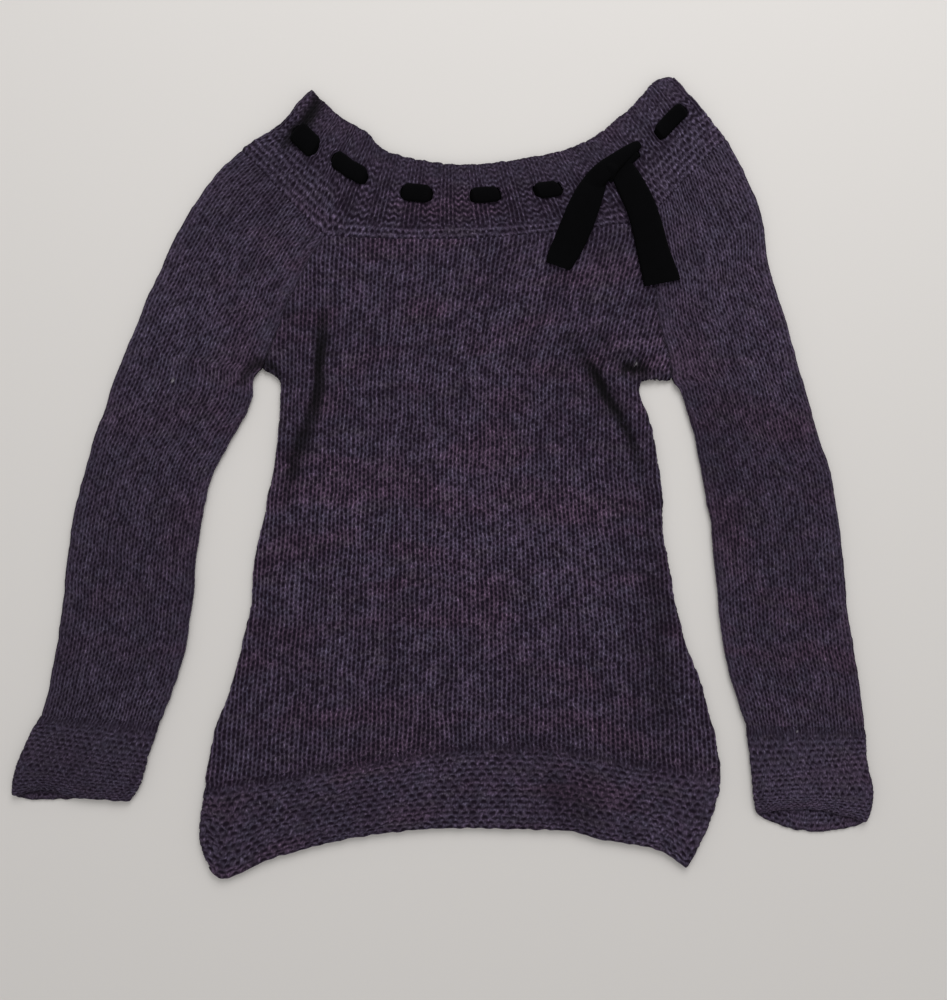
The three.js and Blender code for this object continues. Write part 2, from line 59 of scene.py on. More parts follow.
# Outlines, in millimetres, from the wearer's right to the wearer's left, and from the neck down
NECK_EDGE = [
    (-111, 329), (-94, 312), (-80, 301), (-63, 292), (-50, 278), (-20, 269), (20, 264.5),
    (57, 268), (105, 277), (118, 282), (134, 291.5), (158, 311), (183, 336), (199, 339),
]
NECK_MARKS = [0, 0.17, 0.735, 1]
SHOULDER = {"right": (-171, 277), "left": (242, 287)}
RAGLAN_TOP = {"right": (-100, 204), "left": (174, 217)}
FRONT_TOP_SAG = (36, 194)
UNDERARM = {"right": (-153, 90), "left": (197, 80.5)}
RAGLAN = {
    "right": [RAGLAN_TOP["right"], (-120, 170), (-133, 141), (-143, 114), UNDERARM["right"]],
    "left": [RAGLAN_TOP["left"], (182, 160), (187, 123), (193, 104), UNDERARM["left"]],
}
HEM_TOP_CORNER = {"right": (-202, -262), "left": (238.5, -249)}
SIDE = {
    "right": [
        UNDERARM["right"], (-140, 82), (-138, 64), (-140, 30), (-149, -21), (-156, -54), (-161.5, -87),
        (-163.5, -115), (-178, -172), (-195, -224), HEM_TOP_CORNER["right"],
    ],
    "left": [
        UNDERARM["left"], (172, 81.5), (168.5, 72), (180, 39), (187, -4), (191, -60), (205, -131),
        (228, -200), HEM_TOP_CORNER["left"],
    ],
}
HEM_TOP = [
    HEM_TOP_CORNER["right"], (-129, -252), (-86, -244), (16, -228), (101, -229), (169, -242),
    HEM_TOP_CORNER["left"],
]
HEM_CORNER = {"right": (-198, -334), "left": (208, -334)}
HEM_SIDE = {
    "right": [HEM_TOP_CORNER["right"], (-206, -290), (-205, -315), HEM_CORNER["right"]],
    "left": [HEM_TOP_CORNER["left"], (236.5, -272), (222.5, -309), (216.5, -323), HEM_CORNER["left"]],
}
HEM_EDGE = [
    HEM_CORNER["right"], (-186, -343), (-149, -327.5), (-85, -310), (-12, -300.5), (63, -300.5),
    (113, -303), (131, -308.5), (186, -319), HEM_CORNER["left"],
]
CUFF_TOP = {
    "right": {"inner": (-239, -210), "outer": (-341, -204)},
    "left": {"inner": (258, -212), "outer": (360, -215)},
}
SLEEVE_INNER = {
    "right": [
        UNDERARM["right"], (-158.5, 84), (-160.5, 64), (-179, 30), (-196, -4), (-208.5, -72),
        (-213.5, -123), (-221, -160), CUFF_TOP["right"]["inner"],
    ],
    "left": [
        UNDERARM["left"], (203, 72), (208.5, 56), (217, 22), (228, -38), (233.5, -95),
        (240, -148), CUFF_TOP["left"]["inner"],
    ],
}
SLEEVE_OUTER = {
    "right": [
        SHOULDER["right"], (-197, 250), (-219, 217), (-258.5, 132), (-296.5, 30), (-315, -43),
        (-324.5, -123), (-333, -172), CUFF_TOP["right"]["outer"],
    ],
    "left": [
        SHOULDER["left"], (264.5, 244), (273, 221), (276, 193), (280.5, 172), (292.5, 134),
        (321.5, 33), (331.5, 3), (337, -28), (347, -123), (356, -174), CUFF_TOP["left"]["outer"],
    ],
}
SHOULDER_SHARE = 0.36
CUFF_INNER = {
    "right": [CUFF_TOP["right"]["inner"], (-250, -242), (-256, -262), (-264, -277)],
    "left": [CUFF_TOP["left"]["inner"], (263, -250), (265, -275), (268, -288)],
}
CUFF_OUTER = {
    "right": [CUFF_TOP["right"]["outer"], (-353, -225), (-364, -252), (-366, -272)],
    "left": [CUFF_TOP["left"]["outer"], (363, -242), (367, -275), (363, -296)],
}
# How far the front layer's edge and the back's hang down, and where and how sharply they do
CUFF_SAG = {"right": ((-6, 2.1, 3), (3.8, 3, 1)), "left": ((-8, 1, 1), (12, 0.9, 1))}
CUFF_TURN = 7  # courses of a cuff's edge that show on its inside

# Knitting
SLANT = 1.5  # courses that a leg of a stitch climbs
BODY_COURSES = 94
BODY_WALES = 30  # on each side of the middle
# Height on the body, middle of its wales and width of a wale there, in millimetres
WALE_GUIDE = [
    (240, 37, 7.7), (204, 37, 7.6), (150, 29, 7.2), (90, 20, 6.85), (0, 18, 6.95),
    (-120, 20, 7.4), (-250, 19, 7.75), (-345, 10, 7.7),
]
SLEEVE_WALES = 19  # across one layer
SLEEVE_COURSE = 5.1
CUFF_STITCHES = 19
CUFF_COURSES = 19
GARTER_COURSE = 4.4
BAND_SIDE_STITCHES = 15
BAND_FRONT_STITCHES = 34
BAND_MIDDLE = BAND_FRONT_STITCHES / 2
BAND_COURSES = 14
EDGE_TURN = 3  # courses of an open edge that turn in between the layers
HEM_COURSES = 16

SPAN_STEPS = 40


# ---------------------------------------------------------------- curves

def spline(points):
    """Samples of a smooth line through points of the plane, SPAN_STEPS to a span, in metres."""
    p = np.array(points, float) * MM
    p = np.vstack([2 * p[0] - p[1], p, 2 * p[-1] - p[-2]])
    gap = np.linalg.norm(np.diff(p, axis=0), axis=1) ** 0.5
    t = np.linspace(0, 1, SPAN_STEPS, endpoint=False)[:, None]
    spans = []
    for i in range(1, len(p) - 2):
        before, start, end, after = p[i - 1:i + 3]
        d0, d1, d2 = gap[i - 1:i + 2]
        leave = ((start - before) / d0 - (end - before) / (d0 + d1) + (end - start) / d1) * d1
        arrive = ((end - start) / d1 - (after - start) / (d1 + d2) + (after - end) / d2) * d1
        square = 3 * (end - start) - 2 * leave - arrive
        cube = 2 * (start - end) + leave + arrive
        spans.append(start + leave * t + square * t ** 2 + cube * t ** 3)
    return np.vstack(spans + [p[-2][None]])


def at(line, share):
    """The point at a share of a line's samples."""
    place = np.clip(share, 0, 1) * (len(line) - 1)
    steps = np.arange(len(line))
    return np.stack([np.interp(place, steps, line[:, k]) for k in range(line.shape[1])], -1)


def lengths(line):
    """Length of a line from its start to each of its samples."""
    return np.concatenate([[0], np.cumsum(np.linalg.norm(np.diff(line, axis=0), axis=1))])


def along(line, share):
    """The point at a share of a line's length."""
    run = lengths(line)
    place = np.clip(share, 0, 1) * run[-1]
    return np.stack([np.interp(place, run, line[:, k]) for k in range(line.shape[1])], -1)


def mix(a, b, share):
    return a + (b - a) * share


def smooth(low, high, value):
    """0 below low, 1 above high, and a smooth step between them."""
    t = np.clip((value - low) / (high - low), 0, 1)
    return t * t * (3 - 2 * t)


def unit(vectors):
    return vectors / np.maximum(np.linalg.norm(vectors, axis=-1, keepdims=True), 1e-12)


def bezier(start, pull, end):
    t = np.linspace(0, 1, 3 * SPAN_STEPS)[:, None]
    a, b, c = (np.array(p, float) * MM for p in (start, pull, end))
    return (1 - t) ** 2 * a + 2 * t * (1 - t) * b + t ** 2 * c


def straight(start, end):
    return mix(start, end, np.linspace(0, 1, 80)[:, None])


SIDES = ("right", "left")
neck_edge = spline(NECK_EDGE)
front_top = bezier(RAGLAN_TOP["right"], FRONT_TOP_SAG, RAGLAN_TOP["left"])
raglan = {s: spline(RAGLAN[s]) for s in SIDES}
side = {s: spline(SIDE[s]) for s in SIDES}
hem_side = {s: spline(HEM_SIDE[s]) for s in SIDES}
hem_top = spline(HEM_TOP)
hem_edge = spline(HEM_EDGE)


def waves(x, y, seed, size):
    """Gentle unevenness between -1 and 1, with features about size metres long."""
    rng = np.random.default_rng(seed)
    total = np.zeros(np.broadcast(x, y).shape)
    for _ in range(6):
        angle = rng.uniform(0, math.tau)
        pace = math.tau / size * rng.uniform(0.6, 1.6)
        phase = rng.uniform(0, math.tau)
        total += np.sin(pace * (x * math.cos(angle) + y * math.sin(angle)) + phase)
    return total / 6


# ---------------------------------------------------------------- stitches

def leg_place(wale):
    """0 at the edges of a wale and 1 at its middle."""
    return 1 - np.abs(2 * (wale % 1) - 1)


def climb(leg):
    """How many courses a leg of a stitch has climbed at its place: a gentle S."""
    return SLANT * leg * (0.4 + 0.6 * leg * (3 - 2 * leg))


def wave(turns):
    """1 at whole turns and 0 half way between them."""
    return 0.5 + 0.5 * np.cos(math.tau * turns)


def hole_size(column, row):
    """A lasting random size for the hole in each place of the fabric."""
    table = np.random.default_rng(7).uniform(0.6, 1.15, (211, 223))
    return table[np.floor(row + 0.5).astype(int) % 211, np.floor(column + 0.5).astype(int) % 223]


def stocking_relief(wale, course):
    """Height of stocking stitch, 0 in the holes beside and inside each V and 1 on the yarn."""
    a = leg_place(wale)
    beside = np.exp(-(a / 0.4) ** 2) * (0.45 + 0.55 * wave(course)) * hole_size(wale, course)
    within = np.exp(-((1 - a) / 0.4) ** 2) * (0.45 + 0.55 * wave(course + 0.5))
    within = within * hole_size(wale + 100.5, course + 0.5)
    gaps = 0.2 * np.exp(-((a - 0.5) / 0.3) ** 2) * wave(course - climb(a)) ** 3
    return np.clip(1 - beside - within - gaps, 0, 1)


def garter_relief(wale, course):
    """Height of garter stitch: loops in offset rows with a hole under each. The stitches of the
    cloth above run on into its first courses."""
    beat = np.cos(math.tau * wale) * np.cos(math.pi * course)
    rows = wave(course + 0.16 * beat)
    holes = hole_size(2 * wale, course) * (0.5 + 0.5 * beat)
    lump = hole_size(2 * wale + 40.5, course + 60.5) - 0.6
    garter = np.clip(1 - 0.22 * holes - rows * (0.14 + 0.38 * holes) - 0.3 * lump, 0, 1)
    return mix(0.8 * stocking_relief(wale, course), garter, smooth(0.2, 2.4, np.abs(course)))


def purl_relief(wale, course):
    """Height of purl bumps: a broken wavy line across in each course."""
    rows = wave(course + 0.2 * np.cos(math.tau * wale))
    lump = hole_size(2 * wale + 20.5, course + 0.5) - 0.6
    return 1 - (0.35 + 0.35 * wave(2 * wale)) * rows ** 1.4 - 0.35 * lump


SIDE_OPEN = 3.5  # courses by which the open part of the band is taller on the shoulders


def is_knit(stitch):
    """Soft mask of the two knit wales in each four of the rib."""
    turn = np.cos(math.tau * (stitch - BAND_MIDDLE) / 4)
    return smooth(-0.25, 0.25, turn)


def rib_relief(stitch, course):
    """Rib that ends in a few open courses, more of them on the shoulders."""
    knit = is_knit(stitch)
    side_share = smooth(-3, 3, np.abs(stitch - BAND_MIDDLE) - BAND_MIDDLE)
    last = smooth(-0.7, 0.7, course - BAND_COURSES + 2.2 + SIDE_OPEN * side_share)
    rib = mix(0.72 * purl_relief(stitch, course), 0.2 + 0.8 * stocking_relief(stitch, course), knit)
    return mix(rib, 0.9 * garter_relief(1.5 * stitch, course), last)


# ---------------------------------------------------------------- meshes

SAME_PLACE = 1e-6  # metres within which points are one
# Why a point of a grid is cut off: it lies before the first course, past the last, or beyond a side
BEFORE_FIRST, PAST_LAST, PAST_RIGHT, PAST_LEFT = 1, 2, 4, 8


class Grid:
    """A grid of cloth points, [row, column], that is cut off where it meets the cloth's edges."""

    def __init__(self, wale, course):
        """wale has a value for each column, and course one for each row or for each point."""
        course = course.reshape(len(course), -1)
        shape = (len(course), len(wale))
        self.wale, self.course = (np.array(np.broadcast_to(v, shape)) for v in (wale, course))
        self.cut = np.zeros(shape, int)
        self.place = np.zeros(shape + (3,))
        self.normal = np.zeros(shape + (3,))
        self.normal[..., 2] = 1
        # painted shade that darkens the cloth's colour in creases, folds, seam grooves, eyelets and cuff
        # slits
        self.painted_shade = np.zeros(shape)
        self.bloom = np.zeros(shape)

    def cut_ends(self, course, first, last):
        """Keeps the courses from first to last."""
        self.cut |= np.where(course < first, BEFORE_FIRST, 0) | np.where(course > last, PAST_LAST, 0)
        self.course = np.clip(course, first, last)

    def turn_in(self, beyond, ease, way, layer=None):
        """Turns an open edge in between the layers. beyond is how many courses a point is past the
        edge, way points out of the edge, and the cloth draws back over ease courses before it. Where
        a layer is given, 1 or -1, the cloth sinks straight down or up and keeps its sideways lean."""
        radius = WALL * MM / 2
        run = np.maximum(beyond, 0) * GARTER_COURSE * MM
        turn = np.clip(run / radius, 0, math.pi)
        reach = radius * (np.sin(turn) - smooth(-ease, 0, beyond)) - np.maximum(run - math.pi * radius, 0)
        self.place[..., :2] += way * reach[..., None]
        sunk = radius * (1 - np.cos(turn))
        if layer is None:
            self.place -= self.normal * sunk[..., None]
            self.normal *= np.cos(turn)[..., None]
        else:
            self.place[..., 2] -= sunk * layer
            self.normal[..., 2] *= np.cos(turn)
        self.normal[..., :2] += way * np.sin(turn)[..., None]
        return turn

    def triangles(self, keep=None):
        rows, columns = self.wale.shape
        number = np.arange(rows * columns).reshape(rows, columns)
        a, b = number[:-1, :-1], number[:-1, 1:]
        c, d = number[1:, 1:], number[1:, :-1]
        if keep is not None:
            a, b, c, d = (corner[keep] for corner in (a, b, c, d))
        faces = np.concatenate([
            np.stack([a, d, b], -1).reshape(-1, 3), np.stack([b, d, c], -1).reshape(-1, 3)])
        cut = self.cut.ravel()[faces]
        return faces[np.bitwise_and.reduce(cut, axis=1) == 0]


def welded(points, faces):
    """Merges points that coincide and drops faces that have lost a corner or lie double."""
    _, first, back = np.unique(
        np.round(points / SAME_PLACE).astype(np.int64), axis=0, return_index=True, return_inverse=True)
    faces = back.ravel()[faces]
    whole = (faces[:, 0] != faces[:, 1]) & (faces[:, 1] != faces[:, 2]) & (faces[:, 2] != faces[:, 0])
    faces = faces[whole]
    _, single = np.unique(np.sort(faces, axis=1), axis=0, return_index=True)
    faces = faces[np.sort(single)]
    used, renumbered = np.unique(faces, return_inverse=True)
    return first[used], renumbered.reshape(-1, 3)


def make_mesh(name, points, faces, uv=None, measures=None):
    mesh = bpy.data.meshes.new(name)
    mesh.vertices.add(len(points))
    mesh.vertices.foreach_set("co", points.astype(np.float32).ravel())
    mesh.loops.add(faces.size)
    mesh.loops.foreach_set("vertex_index", faces.astype(np.int32).ravel())
    mesh.polygons.add(len(faces))
    mesh.polygons.foreach_set("loop_start", np.arange(0, faces.size, 3, dtype=np.int32))
    mesh.polygons.foreach_set("use_smooth", np.ones(len(faces), bool))
    if uv is not None:
        layer = mesh.uv_layers.new(name="Stitches")
        layer.data.foreach_set("uv", uv[faces.ravel()].astype(np.float32).ravel())
    for key, values in (measures or {}).items():
        kept = mesh.attributes.new(key, "FLOAT", "POINT")
        kept.data.foreach_set("value", values.astype(np.float32))
    mesh.update(calc_edges=True)
    mesh.validate()
    piece = bpy.data.objects.new(name, mesh)
    bpy.context.scene.collection.objects.link(piece)
    return piece


# How the stitches wander: 0 across or 1 down, size of the waves and reach in metres, and seed
WANDER = ((0, 0.016, 0.0006, 21), (1, 0.012, 0.0009, 22), (0, 0.05, 0.0012, 23))


def uneven(points):
    """Moves points of the knitting a little to the side, the same way on every piece and layer."""
    x, y = points[:, 0].copy(), points[:, 1].copy()
    for column, size, reach, seed in WANDER:
        points[:, column] += reach * waves(x, y, seed, size)


def grid_piece(name, grid, height, flip=False, keep=None):
    """The mesh of a grid, raised along its normals by height in metres."""
    points = (grid.place + grid.normal * height[..., None]).reshape(-1, 3)
    uneven(points)
    faces = grid.triangles(keep)
    kept, faces = welded(points, faces)
    if flip:
        faces = faces[:, ::-1]
    uv = np.stack([grid.wale, grid.course], -1).reshape(-1, 2)[kept]
    # Measures kept on the points: painted shade in creases, folds, seams, eyelets and cuff slits, the
    # fuzz that softens the stitches, bluer areas, broad areas that are partly the wool's own tone and
    # partly painted light and shade, and lint
    measures = {
        "painted_shade": grid.painted_shade.ravel()[kept], "bloom": grid.bloom.ravel()[kept],
        "cool": spread(points[kept], COOLS), "tone_and_painted_light": 1 + spread(points[kept], TONES_AND_PAINTED_LIGHT),
        "lint": lint_at(points[kept])}
    return make_mesh(name, points[kept], faces, uv, measures)


# Broad soft areas painted lighter or darker, partly the wool's own uneven tone and partly painted light
# and shade, such as the brighter middle of the front where light falls: middle, half widths in mm, and
# how much
TONES_AND_PAINTED_LIGHT = [
    (20, -60, 90, 130, 0.16), (178, 100, 22, 16, 0.3), (-150, -60, 30, 60, 0.1),
    (178, -145, 16, 70, -0.14), (112, -275, 26, 22, -0.18), (-180, -300, 50, 40, -0.12),
    (-310, -240, 60, 60, -0.24), (244, 180, 50, 90, 0.14), (-318, 30, 50, 90, -0.1),
    (300, 0, 60, 90, -0.14), (-270, -90, 60, 90, -0.12), (110, 60, 26, 40, -0.14),
    (30, 262, 120, 20, -0.2), (-60, 290, 50, 25, -0.12), (310, -120, 50, 60, -0.06),
    (-126, 90, 18, 50, -0.16), (60, -80, 60, 80, 0.1), (312, -250, 50, 40, 0.16),
    (0, -280, 160, 24, -0.08), (176, 96, 26, 22, 0.1), (-70, -50, 50, 34, 0.3),
    (130, 205, 60, 30, -0.22), (230, 20, 24, 70, -0.3), (286, 110, 24, 44, 0.3),
    (118, -60, 24, 110, 0.14), (190, -196, 26, 26, -0.2), (-148, 248, 40, 26, -0.2),
    (-236, 126, 34, 28, 0.24), (-328, -130, 20, 34, -0.26), (-276, -205, 36, 24, 0.18),
    (-214, -100, 16, 50, -0.2), (16, -212, 24, 16, 0.3), (-110, -286, 30, 14, -0.2),
    (110, -258, 36, 26, -0.14), (336, -284, 40, 18, 0.28), (-86, 8, 26, 40, 0.12),
]
# Broad soft areas where the wool is bluer, in the same way
COOLS = [
    (-215, 190, 70, 90, 0.6), (-262, 0, 70, 120, 0.5), (-305, -210, 80, 90, 0.85),
    (244, 190, 60, 90, 0.65), (315, -255, 60, 40, 0.6), (40, 265, 170, 24, 0.4),
    (-120, 300, 50, 34, 0.4), (195, 290, 60, 60, 0.75), (0, -310, 230, 36, 0.3),
    (30, -190, 70, 40, 0.25), (-60, 60, 40, 60, 0.2), (-140, 250, 60, 40, 0.6),
    (-236, 110, 40, 60, 0.3), (130, 215, 60, 36, 0.4),
]
# Specks of pale lint on the wool: middle and half width in mm
LINT = [(165.6, 95.8, 1), (-228.3, 80.4, 1.1), (301.8, -217.4, 0.3)]


def lint_at(points):
    x, y, z = points.T / MM
    share = np.zeros(x.shape)
    for middle, level, half in LINT:
        away = np.hypot(x - middle, y - level)
        share = np.maximum(share, smooth(1.7 * half, 0.3 * half, away))
    return share * (z > ROLL)


def spread(points, spots):
    """Sum of broad soft spots at each point."""
    x, y, _ = points.T / MM
    total = np.zeros(x.shape)
    for middle, level, half, tall, much in spots:
        total += much * np.exp(-((x - middle) / half) ** 2 - ((y - level) / tall) ** 2)
    return total


def tree_of(line):
    tree = kdtree.KDTree(len(line))
    for i, point in enumerate(line):
        tree.insert((point[0], point[1], 0), i)
    tree.balance()
    return tree


def distance_to(line, x, y, reach):
    """Distance to a line within reach, the way away from it and the share along it."""
    tree = tree_of(line)
    away = np.full(x.shape, reach)
    way = np.zeros(x.shape + (2,))
    share = np.zeros(x.shape)
    low, high = line.min(0) - reach, line.max(0) + reach
    near = (x > low[0]) & (x < high[0]) & (y > low[1]) & (y < high[1])
    for index in zip(*np.nonzero(near)):
        spot, number, gap = tree.find((x[index], y[index], 0))
        if gap < reach:
            away[index] = gap
            way[index] = (x[index] - spot[0], y[index] - spot[1])
            share[index] = number / (len(line) - 1)
    return away, unit(way), share


def dense(line, step=0.0004):
    """The same line with a point every step metres."""
    return along(line, np.linspace(0, 1, int(lengths(line)[-1] / step) + 2))


# ---------------------------------------------------------------- body panels

def herringbone(columns, first, last, per_course):
    """Course numbers of a grid whose rows run along the legs of the stitches."""
    start = math.floor((first - SLANT) * per_course)
    end = math.ceil(last * per_course)
    steps = np.arange(start, end + 1) / per_course
    return steps[:, None] + climb(leg_place(columns))[None, :]


def edge_at(lines, y):
    """How far to the side a panel's edge lies at each height."""
    whole = np.vstack(lines)
    order = np.argsort(whole[:, 1], kind="stable")
    return np.interp(y, whole[order, 1], whole[order, 0])


def wale_field(y):
    """Middle of the body's wales and their width at each height."""
    guide = np.array(WALE_GUIDE[::-1], float) * MM
    middle = np.interp(y, guide[:, 0], guide[:, 1])
    width = np.interp(y, guide[:, 0], guide[:, 2])
    return middle, width


BODY_MIDDLE = 18  # millimetres to the wearer's left of the frame's middle
ON_EDGE = 1e-5  # metres within which a point lies on an edge
FAR_OUT = 0.04  # metres past an edge from which a point only comes level with it


def brought_to(line, x, y, edge, outside):
    """Brings points outside a panel to the nearest point of its edge, and far ones level with it."""
    tree = tree_of(line)
    x, y = x.copy(), y.copy()
    for index in zip(*np.nonzero(outside)):
        if abs(x[index] - edge[index]) > FAR_OUT:
            x[index] = edge[index]
            continue
        spot, _, _ = tree.find((x[index], y[index], 0))
        x[index], y[index] = spot[0], spot[1]
    return x, y


def lay_panel(wales, course, courses, top, bottom, edges):
    """Lays a panel's stitches between its top and bottom lines and cuts them off at its edges."""
    grid = Grid(wales, course)
    wale, course = grid.wale, grid.course
    share = np.clip(course, 0, courses) / courses
    grid.cut_ends(course, 0, courses)
    y = mix(top[:, 1].mean(), bottom[:, 1].mean(), share)
    for _ in range(3):
        middle, width = wale_field(y)
        x = middle + wale * width
        y = mix(np.interp(x, top[:, 0], top[:, 1]), np.interp(x, bottom[:, 0], bottom[:, 1]), share)
    for name, bit, sign in (("right", PAST_RIGHT, 1), ("left", PAST_LEFT, -1)):
        edge = edge_at(edges[name], y)
        outside = sign * (x - edge) <= 0
        grid.cut |= np.where(outside, bit, 0)
        whole = np.vstack([dense(line) for line in edges[name]])
        x, y = brought_to(whole, x, y, edge, outside)
    grid.wale = (x - middle) / width
    grid.place[..., 0], grid.place[..., 1] = x, y
    return grid


def roll_edges(grid, lines, top, layer):
    """Rolls a panel's side edges round to half height, and gives its points their height."""
    x, y = grid.place[..., 0], grid.place[..., 1]
    radius = ROLL * MM
    drop = np.zeros(x.shape)
    lean = np.zeros(x.shape)
    way = np.zeros(x.shape + (2,))
    for line in lines:
        away, inward, _ = distance_to(dense(line), x, y, radius)
        here = 1 - away / radius
        on_edge = away < ON_EDGE
        drop = np.maximum(drop, radius * (1 - np.sqrt(1 - here ** 2)))
        closer = here > lean
        lean = np.where(closer, here, lean)
        way = np.where((closer & ~on_edge)[..., None], -inward, way)
        way = np.where((closer & on_edge)[..., None], outward_of(line), way)
    top = mix(top, STACK * MM, smooth(0.2, 0.9, lean))
    height = top - drop
    grid.normal[..., :2] = way * lean[..., None]
    grid.normal[..., 2] = np.sqrt(1 - lean ** 2)
    grid.place[..., 2] = height if layer > 0 else STACK * MM - height
    if layer < 0:
        grid.normal[..., 2] *= -1


def outward_of(line):
    """Sideways, away from the middle of the garment."""
    return np.array([1.0 if line[:, 0].mean() > BODY_MIDDLE * MM else -1.0, 0.0])


# Soft folds: stations of x, y, half width, depth (below zero for a ridge) and painted shade, in
# millimetres but for the painted shade, and the height of the roll of cloth on the side named by hand
FOLDS = [
    {"roll": 3.4, "hand": -1, "stations": [
        (-101, 146, 5, 0, 0), (-102, 130, 5.4, 2.4, 0.7), (-103.4, 109, 5.6, 3.6, 0.92),
        (-105, 90, 5.2, 3.8, 0.93), (-106, 72, 5.2, 3.4, 0.9), (-109.4, 56, 5.8, 2.8, 0.86),
        (-117.4, 38.7, 6.4, 2.2, 0.82), (-123.4, 21.7, 6.6, 2.0, 0.78), (-127, 3.7, 6, 1.4, 0.66),
        (-132, -16, 5, 0.4, 0.2), (-136, -30, 5, 0, 0)]},
    {"roll": 3.2, "hand": 1, "stations": [
        (100, 124, 6, 0, 0), (110, 114, 6, 1.4, 0.4), (121, 101, 5, 1.8, 0.46),
        (129, 92, 5, 3.2, 0.88), (133.8, 83.5, 5.6, 3.8, 0.97), (138.4, 72, 5.4, 3.8, 0.97),
        (147, 59, 4.6, 3.2, 0.9), (155.4, 44.5, 4.4, 2.6, 0.84), (162.4, 29.5, 4.4, 2.2, 0.74),
        (169, 13, 4.6, 1.4, 0.5), (174, -6, 4.4, 0, 0)]},
    {"roll": 2.0, "hand": -1, "stations": [
        (-105, 328, 3, 0.8, 0.5), (-106, 319, 4.6, 2.6, 0.88), (-110, 309, 5.6, 3.2, 0.95),
        (-116, 300, 6, 2.8, 0.93), (-125, 290, 6, 1.6, 0.88), (-134, 281, 5, 0.6, 0.6)]},
    {"roll": 1.2, "hand": 1, "stations": [
        (124, 128, 4, 0, 0), (132, 119, 4, 1.8, 0.4), (140, 111, 4, 2.2, 0.45), (149, 105, 4, 0, 0)]},
    {"roll": 1.6, "hand": -1, "stations": [
        (-113, 134, 3, 0, 0), (-118, 138, 3, 1.5, 0.3), (-127, 137, 3, 1.6, 0.35), (-134, 128, 3, 0, 0)]},
    {"roll": 0, "hand": 1, "stations": [
        (150, 95, 4, 0, 0.2), (155, 92.5, 6, 3.4, 0.95), (162, 92, 7, 3.8, 0.97),
        (170, 91.5, 5.6, 3, 0.9), (177, 89.5, 4, 1, 0.5), (184, 88, 3, 0, 0)]},
    {"roll": 0, "hand": 1, "stations": [
        (142, 98, 4, 0, 0), (148, 104, 5, -2.0, 0), (158, 107, 5, -2.6, 0), (172, 105.5, 5, -2.4, 0),
        (184, 98, 4.5, -1.6, 0), (190, 90, 4, 0, 0)]},
    {"roll": 0, "hand": 1, "stations": [
        (-168, 80, 3.6, 0.6, 0.5), (-162, 90, 4.4, 1.2, 0.75), (-153, 95, 4.8, 1.6, 0.8),
        (-143, 93, 4.2, 1.4, 0.76), (-138, 84, 3.6, 0.4, 0.5)]},
    {"roll": 0, "hand": 1, "stations": [
        (178, 10, 12, 0, 0), (186, -60, 9, 0.8, 0.2), (186, -120, 9, 1.0, 0.24),
        (190, -180, 10, 0.8, 0.2), (200, -230, 12, 0, 0)]},
    {"roll": 0, "hand": 1, "stations": [
        (60, -225, 14, 0, 0), (92, -255, 12, 0.6, 0.16), (118, -285, 12, 0.6, 0.2),
        (140, -305, 10, 0, 0)]},
]


def fold_field(x, y):
    """Height that the folds add, in metres, and the painted shade in them."""
    height = np.zeros(x.shape)
    light = np.ones(x.shape)
    for fold in FOLDS:
        stations = np.array(fold["stations"], float)
        line = dense(spline(stations[:, :2]), 0.001)
        marks = lengths(spline(stations[:, :2]))
        marks = marks[::SPAN_STEPS] / marks[-1]
        half_most = stations[:, 2].max() * MM
        away, way, share = distance_to(line, x, y, 4 * half_most)
        half, depth, dark = (np.interp(share, marks, stations[:, k]) for k in (2, 3, 4))
        half = half * MM
        inside = away < 4 * half_most
        bowl = np.exp(-(away / half) ** 2) * inside
        side_of = away * np.sign(way[..., 0]) * fold["hand"]
        beside = np.exp(-((side_of - 2.4 * half) / (1.5 * half)) ** 2) * inside
        strength = np.clip(depth / max(stations[:, 3].max(), 0.1), 0, 1)
        height += (fold["roll"] * beside * strength - depth * bowl) * MM
        # Painted shade in and beside the fold, reaching less far on the side of its roll
        reach = np.where(side_of > 0, 0.9, 1.45) * half
        light *= 1 - dark * np.exp(-(away / reach) ** 3) * inside
    return height, 1 - light


def body_wales(across):
    return np.arange(-BODY_WALES * across, BODY_WALES * across + 1) / across


def body_panel(name, layer, across, down, sizes):
    wales = body_wales(across)
    course = herringbone(wales, 0, BODY_COURSES, down)
    edges = {s: (raglan[s], side[s]) for s in SIDES}
    grid = lay_panel(wales, course, BODY_COURSES, front_top, hem_top, edges)
    x, y = grid.place[..., 0], grid.place[..., 1]
    top = np.full(x.shape, STACK * MM)
    if layer > 0:
        # Painted shade of the creases and of the raglan seams' grooves
        height, painted_shade = fold_field(x, y)
        grid.painted_shade = np.maximum(painted_shade, seam_shade(x, y, raglan.values()))
        top += height
    roll_edges(grid, side.values(), top, layer)
    relief = sizes.relief * (stocking_relief(grid.wale, grid.course) - peak_of(layer))
    seams = [(raglan["right"], 1), (raglan["left"], 1), (front_top, 0.3), (hem_top, 0.3)]
    return grid_piece(name, grid, joined(relief, x, y, seams, sizes), flip=layer < 0)


def peak_of(layer):
    """Share of the relief that lies under the cloth's face: all of it on the side that rests."""
    return np.where(layer > 0, 0.8, 1.0)


def joined(relief, x, y, seams, sizes):
    """Relief of a piece, brought to one level where it meets the next piece. Each seam is a line
    and the share of the full depth that its groove has."""
    reach = 3 * sizes.seam_half
    dip = np.zeros(x.shape)
    for line, deep in seams:
        away, _, _ = distance_to(dense(line), x, y, reach)
        groove = sizes.seam_depth * np.exp(-(away / sizes.seam_half) ** 2) * (away < reach)
        dip = np.maximum(dip, deep * groove)
        relief = mix(relief, -0.5 * sizes.relief, smooth(sizes.seam_half, 0, away))
    return relief - dip


SHADE_HALF, SHADE_REACH = 0.0016, 0.006  # metres
SHADE_TOP, SHADE_END = 0.12, 0.6


